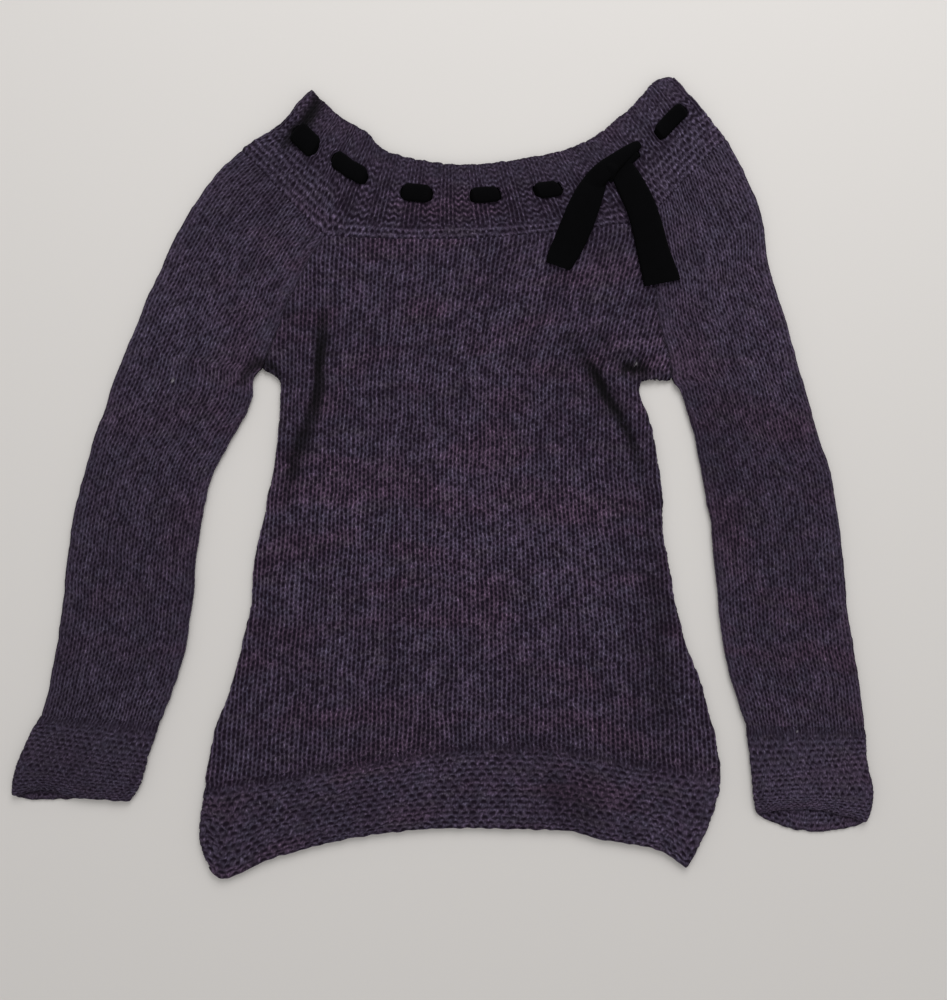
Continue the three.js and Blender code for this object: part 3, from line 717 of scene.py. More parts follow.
def seam_shade(x, y, lines):
    """Painted shade in the groove of a seam, deepest towards its lower end."""
    shade = np.zeros(x.shape)
    for line in lines:
        away, _, share = distance_to(dense(line), x, y, SHADE_REACH)
        deep = mix(SHADE_TOP, SHADE_END, share ** 2) * (away < SHADE_REACH)
        shade = np.maximum(shade, np.exp(-(away / SHADE_HALF) ** 2) * deep)
    return shade


# ---------------------------------------------------------------- hem bands

def hem_band(name, layer, across, down, sizes):
    steps = np.arange(0, (HEM_COURSES + EDGE_TURN) * down + 1) / down
    edges = {s: (hem_side[s],) for s in SIDES}
    grid = lay_panel(body_wales(across), steps, HEM_COURSES, hem_top, hem_edge, edges)
    grid.cut &= ~PAST_LAST
    grid.course = np.array(np.broadcast_to(steps[:, None], grid.wale.shape))
    slope = np.gradient(hem_edge[:, 1]) / np.gradient(hem_edge[:, 0])
    tangent = np.interp(grid.place[..., 0], hem_edge[:, 0], slope)
    outward = unit(np.stack([tangent, -np.ones(tangent.shape)], -1))
    x, y = grid.place[..., 0].copy(), grid.place[..., 1].copy()
    roll_edges(grid, hem_side.values(), np.full(x.shape, STACK * MM), layer)
    beyond = grid.course - HEM_COURSES
    grid.turn_in(beyond, 2, outward, layer)
    grid.normal = unit(grid.normal)
    relief = sizes.relief * (garter_relief(grid.wale, grid.course) - peak_of(layer))
    relief = relief * mix(1, 0.4, smooth(0.8, 1.4, beyond))
    if layer > 0:
        # Painted shade of the folds
        grid.painted_shade = fold_field(x, y)[1]
    relief = joined(relief, x, y, [(hem_top, 0.3)], sizes)
    return grid_piece(name, grid, relief, flip=layer < 0)


# ---------------------------------------------------------------- sleeves and cuffs

def tube_section(inner, outer, share, roll):
    """A point of a flattened tube at a share of the way round its front layer, from its inner to
    its outer edge. roll is 1 where the inner edge is rolled and 0 where it stays level."""
    radius = ROLL * MM
    across = outer - inner
    width = np.linalg.norm(across, axis=-1)
    way = unit(across)
    turn = math.pi / 2 * roll
    arc = radius * turn
    set_in = radius * np.sin(turn)
    flat = width - set_in - radius
    s = share * (arc + flat + radius * math.pi / 2)
    far = np.clip((s - arc - flat) / radius, 0, math.pi / 2)
    near = np.clip(turn - s / radius, 0, None)
    plan = np.where(
        s < arc, set_in - radius * np.sin(near),
        np.where(s < arc + flat, set_in + s - arc, width - radius + radius * np.sin(far)))
    drop = radius * (1 - np.cos(near)) + radius * (1 - np.cos(far))
    side_lean = np.sin(far) - np.sin(near)
    normal = np.concatenate([way * side_lean[..., None], (np.cos(far) * np.cos(near))[..., None]], -1)
    place = np.concatenate([inner + way * plan[..., None], (STACK * MM - drop)[..., None]], -1)
    return place, normal


def both_layers(wales, half):
    """Share across a tube and layer, 1 or -1, for a count of stitches round it from its seam."""
    share = wales / half
    return np.where(share <= 1, share, 2 - share), np.where(share <= 1, 1.0, -1.0)


def lay_tube(grid, inner, outer, roll, half):
    share, layer = both_layers(grid.wale, half)
    place, normal = tube_section(inner, outer, share, roll)
    under = layer < 0
    place[..., 2] = np.where(under, STACK * MM - place[..., 2], place[..., 2])
    normal[..., 2] = np.where(under, -normal[..., 2], normal[..., 2])
    grid.place, grid.normal = place, normal
    return layer


def tube_columns(half, front, back):
    """Stitch counts round a tube, with more steps on its front layer than on its back."""
    return np.concatenate([
        np.arange(0, half * front) / front, half + np.arange(0, half * back + 1) / back])


def sleeve_lines(side_name):
    """Inner and outer edges of a sleeve at even steps from the neckband to the cuff."""
    inner, outer = spline(SLEEVE_INNER[side_name]), spline(SLEEVE_OUTER[side_name])
    above = np.linspace(0, 1, 60, endpoint=False)
    below = np.linspace(0, 1, 120)
    inside = np.vstack([at(raglan[side_name], above), along(inner, below)])
    outside = along(outer, np.concatenate([above * SHOULDER_SHARE, mix(SHOULDER_SHARE, 1, below)]))
    roll = smooth(57, 66, np.arange(len(inside)))
    return inside, outside, roll


SWELL, SWELL_SIZE = 0.0009, 0.07  # height and size in metres of the swells of a sleeve's front
SWELL_SEED = {"right": 16, "left": 15}


def sleeve(name, side_name, front, back, down, sizes):
    inside, outside, roll = sleeve_lines(side_name)
    columns = tube_columns(SLEEVE_WALES, front, back)
    share, _ = both_layers(columns, SLEEVE_WALES)
    place = np.linspace(0, 1, len(inside))
    pitch = SLEEVE_COURSE * MM
    runs = [lengths(mix(inside, outside, u)) for u in share]
    courses = max(run[-1] for run in runs) / pitch
    course = herringbone(columns, 0, courses, down)
    grid = Grid(columns, course)
    first = courses - np.array([run[-1] for run in runs]) / pitch
    grid.cut_ends(course, first, courses)
    far = (grid.course - first) * pitch
    spot = np.stack([np.interp(far[:, k], run, place) for k, run in enumerate(runs)], 1)
    layer = lay_tube(
        grid, at(inside, spot), at(outside, spot), at(roll[:, None], spot)[..., 0], SLEEVE_WALES)
    x, y = grid.place[..., 0], grid.place[..., 1]
    top_line, end_line = (straight(inside[k], outside[k]) for k in (0, -1))
    relief = sizes.relief * (stocking_relief(grid.wale, grid.course) - peak_of(layer))
    rim = np.minimum(share, 1 - share)[None, :] * SLEEVE_WALES
    grid.bloom = mix(0.25, 0.75, smooth(3.0, 0.3, np.broadcast_to(rim, course.shape)))
    # Painted shade of the folds on the front layer and of the raglan seam's groove
    _, painted_shade = fold_field(x, y)
    grid.painted_shade = np.maximum(np.where(layer > 0, painted_shade, 0), seam_shade(x, y, [raglan[side_name]]))
    relief = joined(
        relief, x, y, [(raglan[side_name], 1), (top_line, 0.3), (end_line, 0.2)], sizes)
    level = (layer > 0) & (grid.normal[..., 2] > 0.9)
    swell = SWELL * waves(x, y, SWELL_SEED[side_name], SWELL_SIZE) * level
    return grid_piece(name, grid, relief + swell, flip=side_name == "right")


def cuff(name, side_name, across, down, sizes):
    inner, outer = spline(CUFF_INNER[side_name]), spline(CUFF_OUTER[side_name])
    columns = tube_columns(CUFF_STITCHES, across, across)
    share, _ = both_layers(columns, CUFF_STITCHES)
    grid = Grid(columns, np.arange(0, (CUFF_COURSES + CUFF_TURN) * down + 1) / down)
    beyond = grid.course - CUFF_COURSES
    spot = np.clip(grid.course / CUFF_COURSES, 0, 1)
    inside, outside = at(inner, spot), at(outer, spot)
    layer = lay_tube(grid, inside, outside, np.ones(spot.shape), CUFF_STITCHES)
    bows = [
        much * MM * np.sin(math.pi * share ** lead).clip(0) ** sharp
        for much, lead, sharp in CUFF_SAG[side_name]]
    grid.place[..., 1] -= np.where(layer > 0, *bows) * spot ** 3
    way = unit(outside - inside)
    down_way = np.stack([way[..., 1], -way[..., 0]], -1)
    down_way *= np.where(down_way[..., 1:] > 0, -1, 1)
    turn = grid.turn_in(beyond, 2, down_way)
    relief = sizes.relief * (garter_relief(grid.wale, grid.course) - peak_of(layer))
    top_line = straight(inside[0, 0], outside[0, 0])
    relief = joined(relief, grid.place[..., 0], grid.place[..., 1], [(top_line, 0.2)], sizes)
    # Painted shadow of the front layer's edge on the inside of the back layer, where it shows below that
    # edge
    shows = (layer < 0) & (turn >= math.pi)
    over = columns <= CUFF_STITCHES
    lip = np.interp(share, share[over], grid.place[down * CUFF_COURSES, over, 1])
    gap = (lip - grid.place[..., 1]) / MM
    grid.painted_shade = np.where(shows, 0.9 * smooth(5, -1, gap), 0)
    grid.bloom[:] = 0.35
    return grid_piece(name, grid, relief, flip=side_name == "right")


# ---------------------------------------------------------------- neckband

SHOULDER_DENT = 5  # how far the right end of the band bends in, in millimetres
DENT_WAY = np.array([0.65, -0.76])
DENT_FADE = 0.22  # in place along the band
EYELET_TOP, EYELET_BOTTOM = 0.31, 0.57
EYELET_HALF, EYELET_OPEN = 5.8, 3.2
RIBBON_LINE = 0.44  # share across the band
RIBBON_DIVE = 3.6
# The lip of an eyelet, in millimetres: how far it curls down and its half width, how far the cloth
# behind it stands up, how far behind that is and its half width, and how far the inner edge drops
LIP_CURL, LIP_HALF = 1.5, 1.1
PUFF, PUFF_BEHIND, PUFF_HALF = 1.1, 3, 2.2
INNER_DROP = 1.6
LIP_REACH = 40
# Where the ribbon shows: start and end along the band, share across it, half its width in mm
DASHES = [
    (0.2, 0.575, 0.432, 9.6), (0.75, 1.08, 0.378, 7.8), (1.214, 1.33, 0.437, 7.7),
    (1.468, 1.58, 0.442, 6.8), (1.701, 1.801, 0.462, 7.2), (1.9, 2.295, 0.42, 4.8),
    (2.505, 2.868, 0.44, 6.9),
]


def band_point(place, across):
    """A point of the neckband: place along it, 0 to 3, and share across it from the neck edge."""
    place = np.asarray(place, float)
    mark = np.interp(place, [0, 1, 2, 3], NECK_MARKS)
    corners = {s: np.array(SHOULDER[s], float) * MM for s in SIDES}
    tops = {s: np.array(RAGLAN_TOP[s], float) * MM for s in SIDES}
    t = place[..., None]
    lower = np.where(
        t <= 1, mix(corners["right"], tops["right"], t),
        np.where(t <= 2, at(front_top, np.clip(place - 1, 0, 1)),
                 mix(tops["left"], corners["left"], t - 2)))
    whole = mix(along(neck_edge, mark), lower, np.asarray(across)[..., None])
    dent = SHOULDER_DENT * MM * np.sin(math.pi * np.clip(across, 0, 1)) ** 2 * np.exp(-place / DENT_FADE)
    return whole + dent[..., None] * DENT_WAY


def ribbon_rise(across):
    above = across / EYELET_TOP
    below = (1 - across) / (1 - EYELET_BOTTOM)
    return RIBBON_RISE * MM * np.clip(np.minimum(above, below), 0, 1)


def stitch_to_place(stitch):
    marks = [-BAND_SIDE_STITCHES, 0, BAND_FRONT_STITCHES, BAND_FRONT_STITCHES + BAND_SIDE_STITCHES]
    return np.interp(stitch, marks, [0, 1, 2, 3])


def band_stretch(place):
    """Metres along the ribbon's line for a step of one in place."""
    step = 0.02
    low = np.clip(place - step / 2, 0, 3 - step)
    ends = band_point(low + step, RIBBON_LINE), band_point(low, RIBBON_LINE)
    return float(np.linalg.norm(ends[0] - ends[1])) / step


def eyelets():
    """Where the ribbon goes in and out of the band, and which way its cloth lies from there."""
    return [(spot, line, way) for start, end, line, _ in DASHES for spot, way in ((start, -1), (end, 1))]


def neckband(across, down, sizes):
    total = 2 * BAND_SIDE_STITCHES + BAND_FRONT_STITCHES
    around = np.arange(0, 2 * total * across + 1) / across
    stitches = np.where(around <= total, around, 2 * total - around) - BAND_SIDE_STITCHES
    grid = Grid(stitches, np.arange(-EDGE_TURN * down, BAND_COURSES * down + 1) / down)
    stitch, course = grid.wale, grid.course
    front = np.broadcast_to(around <= total, course.shape)
    share = np.clip(course / BAND_COURSES, 0, 1)
    place = stitch_to_place(stitch)
    spot = band_point(place, share)
    top = STACK * MM + ribbon_rise(share)
    end_right = np.linalg.norm(spot - band_point(0, share), axis=-1)
    end_left = np.linalg.norm(spot - band_point(3, share), axis=-1)
    near = np.minimum(end_right, end_left)
    radius = top / 2
    lean = np.clip(1 - near / radius, 0, 1)
    outward = np.where(
        (end_right < end_left)[..., None],
        unit(band_point(0, share) - band_point(0.1, share)),
        unit(band_point(3, share) - band_point(2.9, share)))
    height = top - radius * (1 - np.sqrt(1 - lean ** 2))
    layer = np.where(front, 1.0, -1.0)
    grid.place[..., :2] = spot
    grid.place[..., 2] = np.where(front, height, top - height)
    grid.normal[..., :2] = outward * lean[..., None]
    grid.normal[..., 2] = np.sqrt(1 - lean ** 2) * layer
    up_way = unit(band_point(place, 0) - band_point(place, 0.2))
    grid.turn_in(-course, 1.5, up_way)
    peak = np.where(layer > 0, 0.75, 1.1)
    relief = sizes.relief * 1.2 * (rib_relief(stitch, course) - peak)
    relief = relief * mix(1, 0.4, smooth(-0.8, -1.4, course))
    x, y = spot[..., 0], spot[..., 1]
    lower = band_point(np.linspace(0, 3, 400), np.ones(400))
    relief = joined(relief, x, y, [(lower, 0.3)], sizes)
    grid.bloom = mix(0.8, 0.1, smooth(0.12, 0.5, share))
    # Painted shade of the folds on the front layer
    height, painted_shade = fold_field(x, y)
    grid.painted_shade = np.where(front, painted_shade, 0)
    grid.place[..., 2] += np.where(front, height, 0) * smooth(0.95, 0.3, lean)
    keep = open_eyelets(grid, place, share, front)
    return grid_piece("neckband_knit", grid, relief, keep=keep)


def open_eyelets(grid, place, share, front):
    """Parts the stitches at each eyelet into a rounded lip, and says which cells stay cloth."""
    keep = np.ones((place.shape[0] - 1, place.shape[1] - 1), bool)
    ends = band_point(place, np.ones(place.shape)), band_point(place, np.zeros(place.shape))
    tall = np.linalg.norm(ends[0] - ends[1], axis=-1)
    before, after = np.clip(place - 0.01, 0, 3), np.clip(place + 0.01, 0, 3)
    way = unit(band_point(after, share) - band_point(before, share))
    for end, line, outward in eyelets():
        v = (share - line) * tall / MM / EYELET_HALF
        arc = np.sqrt(np.clip(1 - v ** 2, 0, 1)) * front
        inside = (np.abs(v) <= 1) & front
        inside = inside[:-1, :-1] & inside[1:, 1:]
        cut = end - outward * EYELET_OPEN * MM / band_stretch(end)
        beyond = outward * (place - cut) * band_stretch(end) / MM
        crosses = (beyond[:-1, :-1] < 0) != (beyond[:-1, 1:] < 0)
        keep &= ~(crosses & inside)
        lip = np.where((beyond >= 0) & (beyond < LIP_REACH), arc, 0)
        shift = EYELET_OPEN * MM * lip * np.exp(-np.clip(beyond, 0, LIP_REACH) / 5)
        grid.place[..., :2] += way * (outward * shift)[..., None]
        curl = LIP_CURL * np.exp(-(beyond / LIP_HALF) ** 2)
        curl -= PUFF * np.exp(-((beyond - PUFF_BEHIND) / PUFF_HALF) ** 2)
        grid.place[..., 2] -= curl * lip * MM
        inner = np.where((beyond < 0) & (beyond > -3), arc, 0)
        grid.place[..., 2] -= INNER_DROP * MM * inner * np.exp(-(beyond / LIP_HALF) ** 2)
        # Painted shade along the cut of each eyelet
        grid.painted_shade = np.maximum(grid.painted_shade, 0.6 * np.exp(-(beyond / 1.2) ** 2) * arc)
    return keep


# ---------------------------------------------------------------- ribbon

RIBBON_THICK = 1.0
RIBBON_CLEAR = 0.3
LEVEL_UNDER = WALL + 2 * RIBBON_CLEAR + 1.5 * RIBBON_THICK
LEVEL_OVER = STACK + RIBBON_RISE + RIBBON_CLEAR + RIBBON_THICK / 2


def strip_piece(name, centre, cross, up, half, thick, arch, columns=10):
    """A closed strip of ribbon along a line. half is its half width at each point, and arch how
    far its middle stands over its edges."""
    share = np.linspace(-1, 1, columns)
    share = np.concatenate([share, share[::-1]])
    face = np.repeat([1, -1], columns) * np.sqrt(np.clip(1 - np.abs(share) ** 6, 0, 1))
    height = arch[:, None] * (1 - share ** 2) + thick / 2 * face
    points = centre[:, None] + cross[:, None] * (half[:, None] * share)[..., None]
    points = points + up[:, None] * height[..., None]
    rows, around = points.shape[:2]
    number = np.arange(rows * around).reshape(rows, around)
    a, b = number[:-1], np.roll(number, -1, 1)[:-1]
    d, c = number[1:], np.roll(number, -1, 1)[1:]
    faces = [np.stack([a, b, c], -1).reshape(-1, 3), np.stack([a, c, d], -1).reshape(-1, 3)]
    for row, flip in ((0, True), (rows - 1, False)):
        ring = number[row]
        fan = np.stack([np.full(around - 2, ring[0]), ring[1:-1], ring[2:]], -1)
        faces.append(fan[:, ::-1] if flip else fan)
    faces = np.vstack(faces)
    run = lengths(centre)[:, None] / (half.mean() * 2)
    uv = np.stack(np.broadcast_arrays(share, run), -1).reshape(-1, 2)
    points = points.reshape(-1, 3)
    kept, faces = welded(points, faces)
    if signed_volume(points[kept], faces) < 0:
        faces = faces[:, ::-1]
    return make_mesh(name, points[kept], faces, uv[kept])


def upward(line):
    return np.broadcast_to([0.0, 0.0, 1.0], line.shape)


def signed_volume(points, faces):
    a, b, c = (points[faces[:, k]] for k in range(3))
    return float(np.einsum("ij,ij->i", a, np.cross(b, c)).sum())


def ribbon(sizes):
    """The threaded ribbon: over the band in each dash, with round ends, and under it between."""
    place = np.linspace(0.03, 2.97, 1400)
    marks = [spot for start, end, _, _ in DASHES for spot in (start, end)]
    shares = [line for _, _, line, _ in DASHES for _ in range(2)]
    centre = band_point(place, np.interp(place, marks, shares))
    over = np.zeros(place.shape)
    half = np.full(place.shape, 0.005)
    for start, end, _, widest in DASHES:
        run_in = (place - start) * band_stretch(start) / MM
        run_out = (end - place) * band_stretch(end) / MM
        run = np.minimum(run_in, run_out)
        over = np.maximum(over, smooth(-0.8, RIBBON_DIVE, run))
        cap = np.clip(1 - run / sizes.ribbon_round * MM, 0, 1)
        round_end = np.maximum(widest * np.sqrt(1 - cap ** 2), 3.6) * MM
        half = np.where(run > 0, round_end, half)
    height = mix(LEVEL_UNDER, LEVEL_OVER, over) * MM
    arch = 0.0004 + 0.001 * over
    line = np.concatenate([centre, height[:, None]], 1)
    cross = np.zeros(line.shape)
    cross[:, :2] = unit(
        band_point(place, np.full(place.shape, EYELET_BOTTOM))
        - band_point(place, np.full(place.shape, EYELET_TOP)))
    return strip_piece("ribbon_threaded", line, cross, upward(line), half, RIBBON_THICK * MM, arch)


# The tie: middle lines with height and half width, in millimetres
TIE_BAND = [
    (168, 281, 6.2, 2.6), (166.4, 279.9, 8.6, 4.0), (162, 276.6, 10.6, 4.9), (156.6, 272.6, 11.6, 5.5),
    (150.8, 268, 12.4, 6.4), (145, 263.2, 12.8, 7.4), (138.7, 258, 12.6, 8.4), (132, 251.8, 11.4, 8.9),
    (126, 243.5, 9.6, 8.7), (120.5, 233, 8.2, 8.0),
]
TIE_WRAP = [
    (140.5, 249.5, 8.6, 4.6), (141.5, 253.5, 11.8, 5.2), (143.5, 259, 14.0, 5.6),
    (146, 264.5, 12.4, 5.0), (147.3, 267.8, 9.8, 4.2),
]
TAILS = {
    "right": [
        (131.5, 251, 9.6, 9.2), (126.6, 241, 10.6, 11.6), (120.5, 227, 11.2, 13.3),
        (114.6, 212, 10.2, 13.8), (108, 197, 8.8, 13.2), (103, 187, 8.3, 12.6),
        (99.6, 179.4, 8.1, 11.4), (98.8, 177.2, 8.0, 10.4),
    ],
    "left": [
        (147, 268, 9.6, 7.4), (153.6, 257, 9.9, 11.3), (161.2, 243, 10.3, 12.3),
        (169, 226, 10.8, 12.8), (175, 207, 9.6, 13.2), (179.8, 188, 8.8, 13.8),
        (184, 174, 8.4, 15), (186.6, 165, 8.2, 16), (187, 163, 8.1, 15.5),
    ],
}


def strip_along(name, stations, thick, arch, samples=90):
    """A strip of ribbon along stations of x, y, height and half width, in millimetres."""
    flat = spline([station[:2] for station in stations])
    steps = np.linspace(0, 1, samples)
    line = at(flat, steps)
    spots = np.array(stations, float) * MM
    place = steps * (len(spots) - 1)
    whole = np.arange(len(spots))
    height = np.interp(place, whole, spots[:, 2])
    half = np.interp(place, whole, spots[:, 3])
    for _ in range(3):
        height = np.convolve(np.pad(height, 3, "edge"), np.ones(7) / 7, "valid")
        half = np.convolve(np.pad(half, 3, "edge"), np.ones(7) / 7, "valid")
    centre = np.concatenate([line, height[:, None]], 1)
    tangent = unit(np.gradient(centre, axis=0))
    cross = unit(np.cross(upward(centre), tangent))
    up = np.cross(tangent, cross)
    return strip_piece(name, centre, cross, up, half, thick * MM, np.full(samples, arch * MM), 14)


# ---------------------------------------------------------------- materials

class Wire:
    """An output of a node that can stand in sums."""

    def __init__(self, nodes, socket):
        self.nodes = nodes
        self.socket = socket

    def __add__(self, other):
        return self.nodes.math("ADD", self, other)

    def __radd__(self, other):
        return self.nodes.math("ADD", other, self)

    def __sub__(self, other):
        return self.nodes.math("SUBTRACT", self, other)

    def __rsub__(self, other):
        return self.nodes.math("SUBTRACT", other, self)

    def __mul__(self, other):
        return self.nodes.math("MULTIPLY", self, other)

    def __rmul__(self, other):
        return self.nodes.math("MULTIPLY", other, self)

    def __truediv__(self, other):
        return self.nodes.math("DIVIDE", self, other)

    def __pow__(self, other):
        return self.nodes.math("POWER", self, other)

    def __abs__(self):
        return self.nodes.math("ABSOLUTE", self)


class Nodes:
    """The node tree of one material."""

    def __init__(self, name):
        self.material = bpy.data.materials.new(name)
        self.material.use_nodes = True
        self.tree = self.material.node_tree
        self.tree.nodes.clear()

    def add(self, kind, settings=None, values=None, out=0):
        node = self.tree.nodes.new(kind)
        for name, value in (settings or {}).items():
            setattr(node, name, value)
        for name, value in (values or {}).items():
            if isinstance(value, Wire):
                self.tree.links.new(value.socket, node.inputs[name])
            else:
                node.inputs[name].default_value = value
        return Wire(self, node.outputs[out]) if node.outputs else None

    def math(self, operation, *values):
        return self.add("ShaderNodeMath", {"operation": operation}, dict(enumerate(values)))

    def vector(self, x, y, z=0.0):
        return self.add("ShaderNodeCombineXYZ", None, {0: x, 1: y, 2: z})

    def noise(self, vector, scale, detail=2.0, roughness=0.5, out=0):
        values = {"Vector": vector, "Scale": scale, "Detail": detail, "Roughness": roughness}
        return self.add("ShaderNodeTexNoise", None, values, out)

    def chance(self, vector):
        return self.add("ShaderNodeTexWhiteNoise", None, {"Vector": vector})

    def blend(self, share, a, b):
        return self.add("ShaderNodeMix", {"data_type": "RGBA"}, {0: share, 6: a, 7: b}, 2)

    def scaled(self, colour, factor):
        return self.add("ShaderNodeVectorMath", {"operation": "SCALE"}, {0: colour, 3: factor})

    def step(self, low, high, value):
        values = {"Value": value, "From Min": low, "From Max": high}
        return self.add("ShaderNodeMapRange", {"interpolation_type": "SMOOTHSTEP"}, values)

    def object_place(self):
        return self.add("ShaderNodeTexCoord", None, None, 3)

    def stitches(self):
        """Wale and course of the surface."""
        uv = self.add("ShaderNodeUVMap", {"uv_map": "Stitches"})
        return [self.add("ShaderNodeSeparateXYZ", None, {0: uv}, k) for k in (0, 1)]

    def measure(self, name):
        """A value kept on the points of the mesh."""
        return self.add("ShaderNodeAttribute", {"attribute_name": name}, None, 2)

    def finish(self, colour, normal, values):
        shader = self.add(
            "ShaderNodeBsdfPrincipled", None, {"Base Color": colour, "Normal": normal, **values})
        self.add("ShaderNodeOutputMaterial", None, {"Surface": shader})
        return self.material


def wave_of(nodes, turns):
    return 0.5 + 0.5 * nodes.math("COSINE", math.tau * turns)


def bell(nodes, value, half):
    away = value / half
    return nodes.math("EXPONENT", 0 - away * away)


def place_on_leg(nodes, wale):
    return 1 - abs(2 * nodes.math("FRACT", wale) - 1)


def hole_chance(nodes, column, row, least=0.62):
    cell = nodes.vector(nodes.math("FLOOR", column + 0.5), nodes.math("FLOOR", row + 0.5))
    return least + (1.2 - least) * nodes.chance(cell)


def stocking_pattern(nodes, wale, course):
    a = place_on_leg(nodes, wale)
    beside = bell(nodes, a, 0.42) * (0.6 + 0.45 * wave_of(nodes, course))
    within = bell(nodes, 1 - a, 0.42) * (0.6 + 0.45 * wave_of(nodes, course + 0.5))
    beside = beside * hole_chance(nodes, wale, course)
    within = within * hole_chance(nodes, wale + 100.5, course + 0.5)
    gaps = 0.2 * bell(nodes, a - 0.5, 0.3) * wave_of(nodes, course - climb(a)) ** 3
    # Painted highlight along the middle of each leg of a stitch
    return (1 - beside - within - gaps) * (1 + 0.3 * bell(nodes, a - 0.5, 0.22))


def garter_pattern(nodes, wale, course):
    spot = nodes.vector(wale * 0.9, course * 0.6, 5.1)
    start = course
    shift = nodes.vector(wale * 0.8, course * 0.5, 9.7)
    wale = wale + 0.7 * (nodes.noise(spot, 1.0, 2.0) - 0.5)
    course = course + 0.9 * (nodes.noise(shift, 1.0, 2.0) - 0.5)
    beat = nodes.math("COSINE", math.tau * wale) * nodes.math("COSINE", math.pi * course)
    holes = hole_chance(nodes, 2 * wale, course, 0.3) * (0.5 + 0.5 * beat)
    rows = wave_of(nodes, course + 0.14 * beat) ** 1.2
    lump = nodes.noise(nodes.vector(wale * 2.2, course * 1.3, 2.9), 1.0, 1.0) - 0.5
    garter = 0.93 - 0.26 * holes - rows * (0.18 + 0.5 * holes) + 0.6 * lump
    above = stocking_pattern(nodes, wale, start)
    return above + nodes.step(0.2, 2.6, abs(start)) * (garter - above)


def purl_pattern(nodes, wale, course):
    spot = nodes.vector(wale * 0.7, course * 0.5, 1.7)
    course = course + 0.8 * (nodes.noise(spot, 1.0, 2.0) - 0.5)
    turn = nodes.math("COSINE", math.tau * wale)
    rows = wave_of(nodes, course + 0.22 * turn)
    lump = nodes.noise(nodes.vector(wale * 2.4, course * 1.1, 6.1), 1.0, 1.0) - 0.5
    deep = 0.45 + 0.4 * wave_of(nodes, 2 * wale)
    return 0.9 - deep * hole_chance(nodes, 2 * wale, course, 0.5) * rows ** 1.2 + 0.55 * lump


def rib_pattern(nodes, wale, course):
    turn = nodes.math("COSINE", math.tau * (wale - BAND_MIDDLE) / 4)
    knit = nodes.step(-0.25, 0.25, turn)
    side_share = nodes.step(-3, 3, abs(wale - BAND_MIDDLE) - BAND_MIDDLE)
    last = nodes.step(-0.7, 0.7, course - BAND_COURSES + 2.2 + SIDE_OPEN * side_share)
    purl = 0.84 * purl_pattern(nodes, wale, course)
    rib = purl + knit * (stocking_pattern(nodes, wale, course) - purl)
    return rib + last * (0.94 * garter_pattern(nodes, 1.5 * wale, course) - rib)


def knit_material(name, colours, pattern, strength, gain):
    """Heathered brushed yarn, with painted light on the legs of the stitches and painted shade in
    the holes and gaps between them.
    """
    nodes = Nodes(name)
    wale, course = nodes.stitches()
    bloom, painted_shade, tone_and_painted_light, cool = (nodes.measure(key) for key in ("bloom", "painted_shade", "tone_and_painted_light", "cool"))
    spot = nodes.object_place()
    brushed = nodes.step(0.46, 0.72, nodes.noise(spot, 42.0, 2.0))
    open_share = 1 - 0.6 * nodes.math("MAXIMUM", bloom, 0.24 * brushed)
    height = nodes.math("MAXIMUM", 1 - (1 - pattern(nodes, wale, course)) * open_share, 0.0)
    row = course - climb(place_on_leg(nodes, wale))
    leg = nodes.vector(nodes.math("FLOOR", 2 * wale), nodes.math("FLOOR", row), 3.7)
    fibres = nodes.noise(nodes.vector(wale * 4.6, course * 1.7), 1.0, 2.0, 0.6)
    patch = nodes.noise(spot, 85.0, 2.0, 0.6)
    drift = nodes.noise(spot, 26.0, 2.0)
    first = nodes.step(0.3, 0.7, 0.7 * patch + 0.3 * nodes.noise(nodes.vector(wale, course), 0.8, 2.0))
    colour = nodes.blend(first, (*colours.blue_grey, 1), (*colours.mauve, 1))
    second = nodes.step(0.46, 0.66, nodes.noise(nodes.vector(wale * 0.1, course * 0.17, 7.3), 1.0, 3.0))
    colour = nodes.blend(0.75 * second * (1 - 0.7 * cool), colour, (*colours.plum, 1))
    third = nodes.step(0.52, 0.7, nodes.noise(nodes.vector(wale * 0.24, course * 0.5, 3.1), 1.0, 2.0))
    colour = nodes.blend(0.6 * third, colour, (*colours.taupe, 1))
    colour = nodes.blend(0.6 * cool, colour, (*colours.blue_grey, 1))
    strand = nodes.math("EXPONENT", 3.6 * strength * (fibres - 0.5))
    # The broad tone is partly the wool's own and partly painted light and shade
    even = (0.89 + 0.24 * drift) * (1 - 0.5 * bloom) * tone_and_painted_light
    streak = nodes.noise(nodes.vector(wale * 1.3, course * 0.1, 4.4), 1.0, 1.0)
    yarn = (0.56 + 0.36 * nodes.chance(leg) + 0.5 * streak) * strand * even
    # Painted light and shade: where the stitches stand high the yarn is painted brighter, and in the
    # holes and gaps it fades to the painted shade of the hole colour
    light = height ** (2.4 * strength)
    lit = nodes.scaled(colour, yarn * light * gain)
    deep = nodes.scaled((*colours.hole,), 1 - 0.8 * light)
    mixed = nodes.add("ShaderNodeVectorMath", {"operation": "ADD"}, {0: lit, 1: deep})
    # Painted shade in creases, folds, seam grooves, eyelets and cuff slits darkens the yarn's colour
    whole = nodes.blend(nodes.measure("lint"), nodes.scaled(mixed, 1 - painted_shade), (*colours.lint, 1))
    bump = nodes.add("ShaderNodeBump", None, {
        "Strength": 0.6, "Distance": 0.0006, "Height": height + 0.6 * fibres})
    return nodes.finish(whole, bump, {
        "Roughness": 0.95, "Specular IOR Level": 0.12, "Sheen Weight": 0.06, "Sheen Roughness": 0.6,
        "Sheen Tint": (0.6, 0.52, 0.66, 1)})


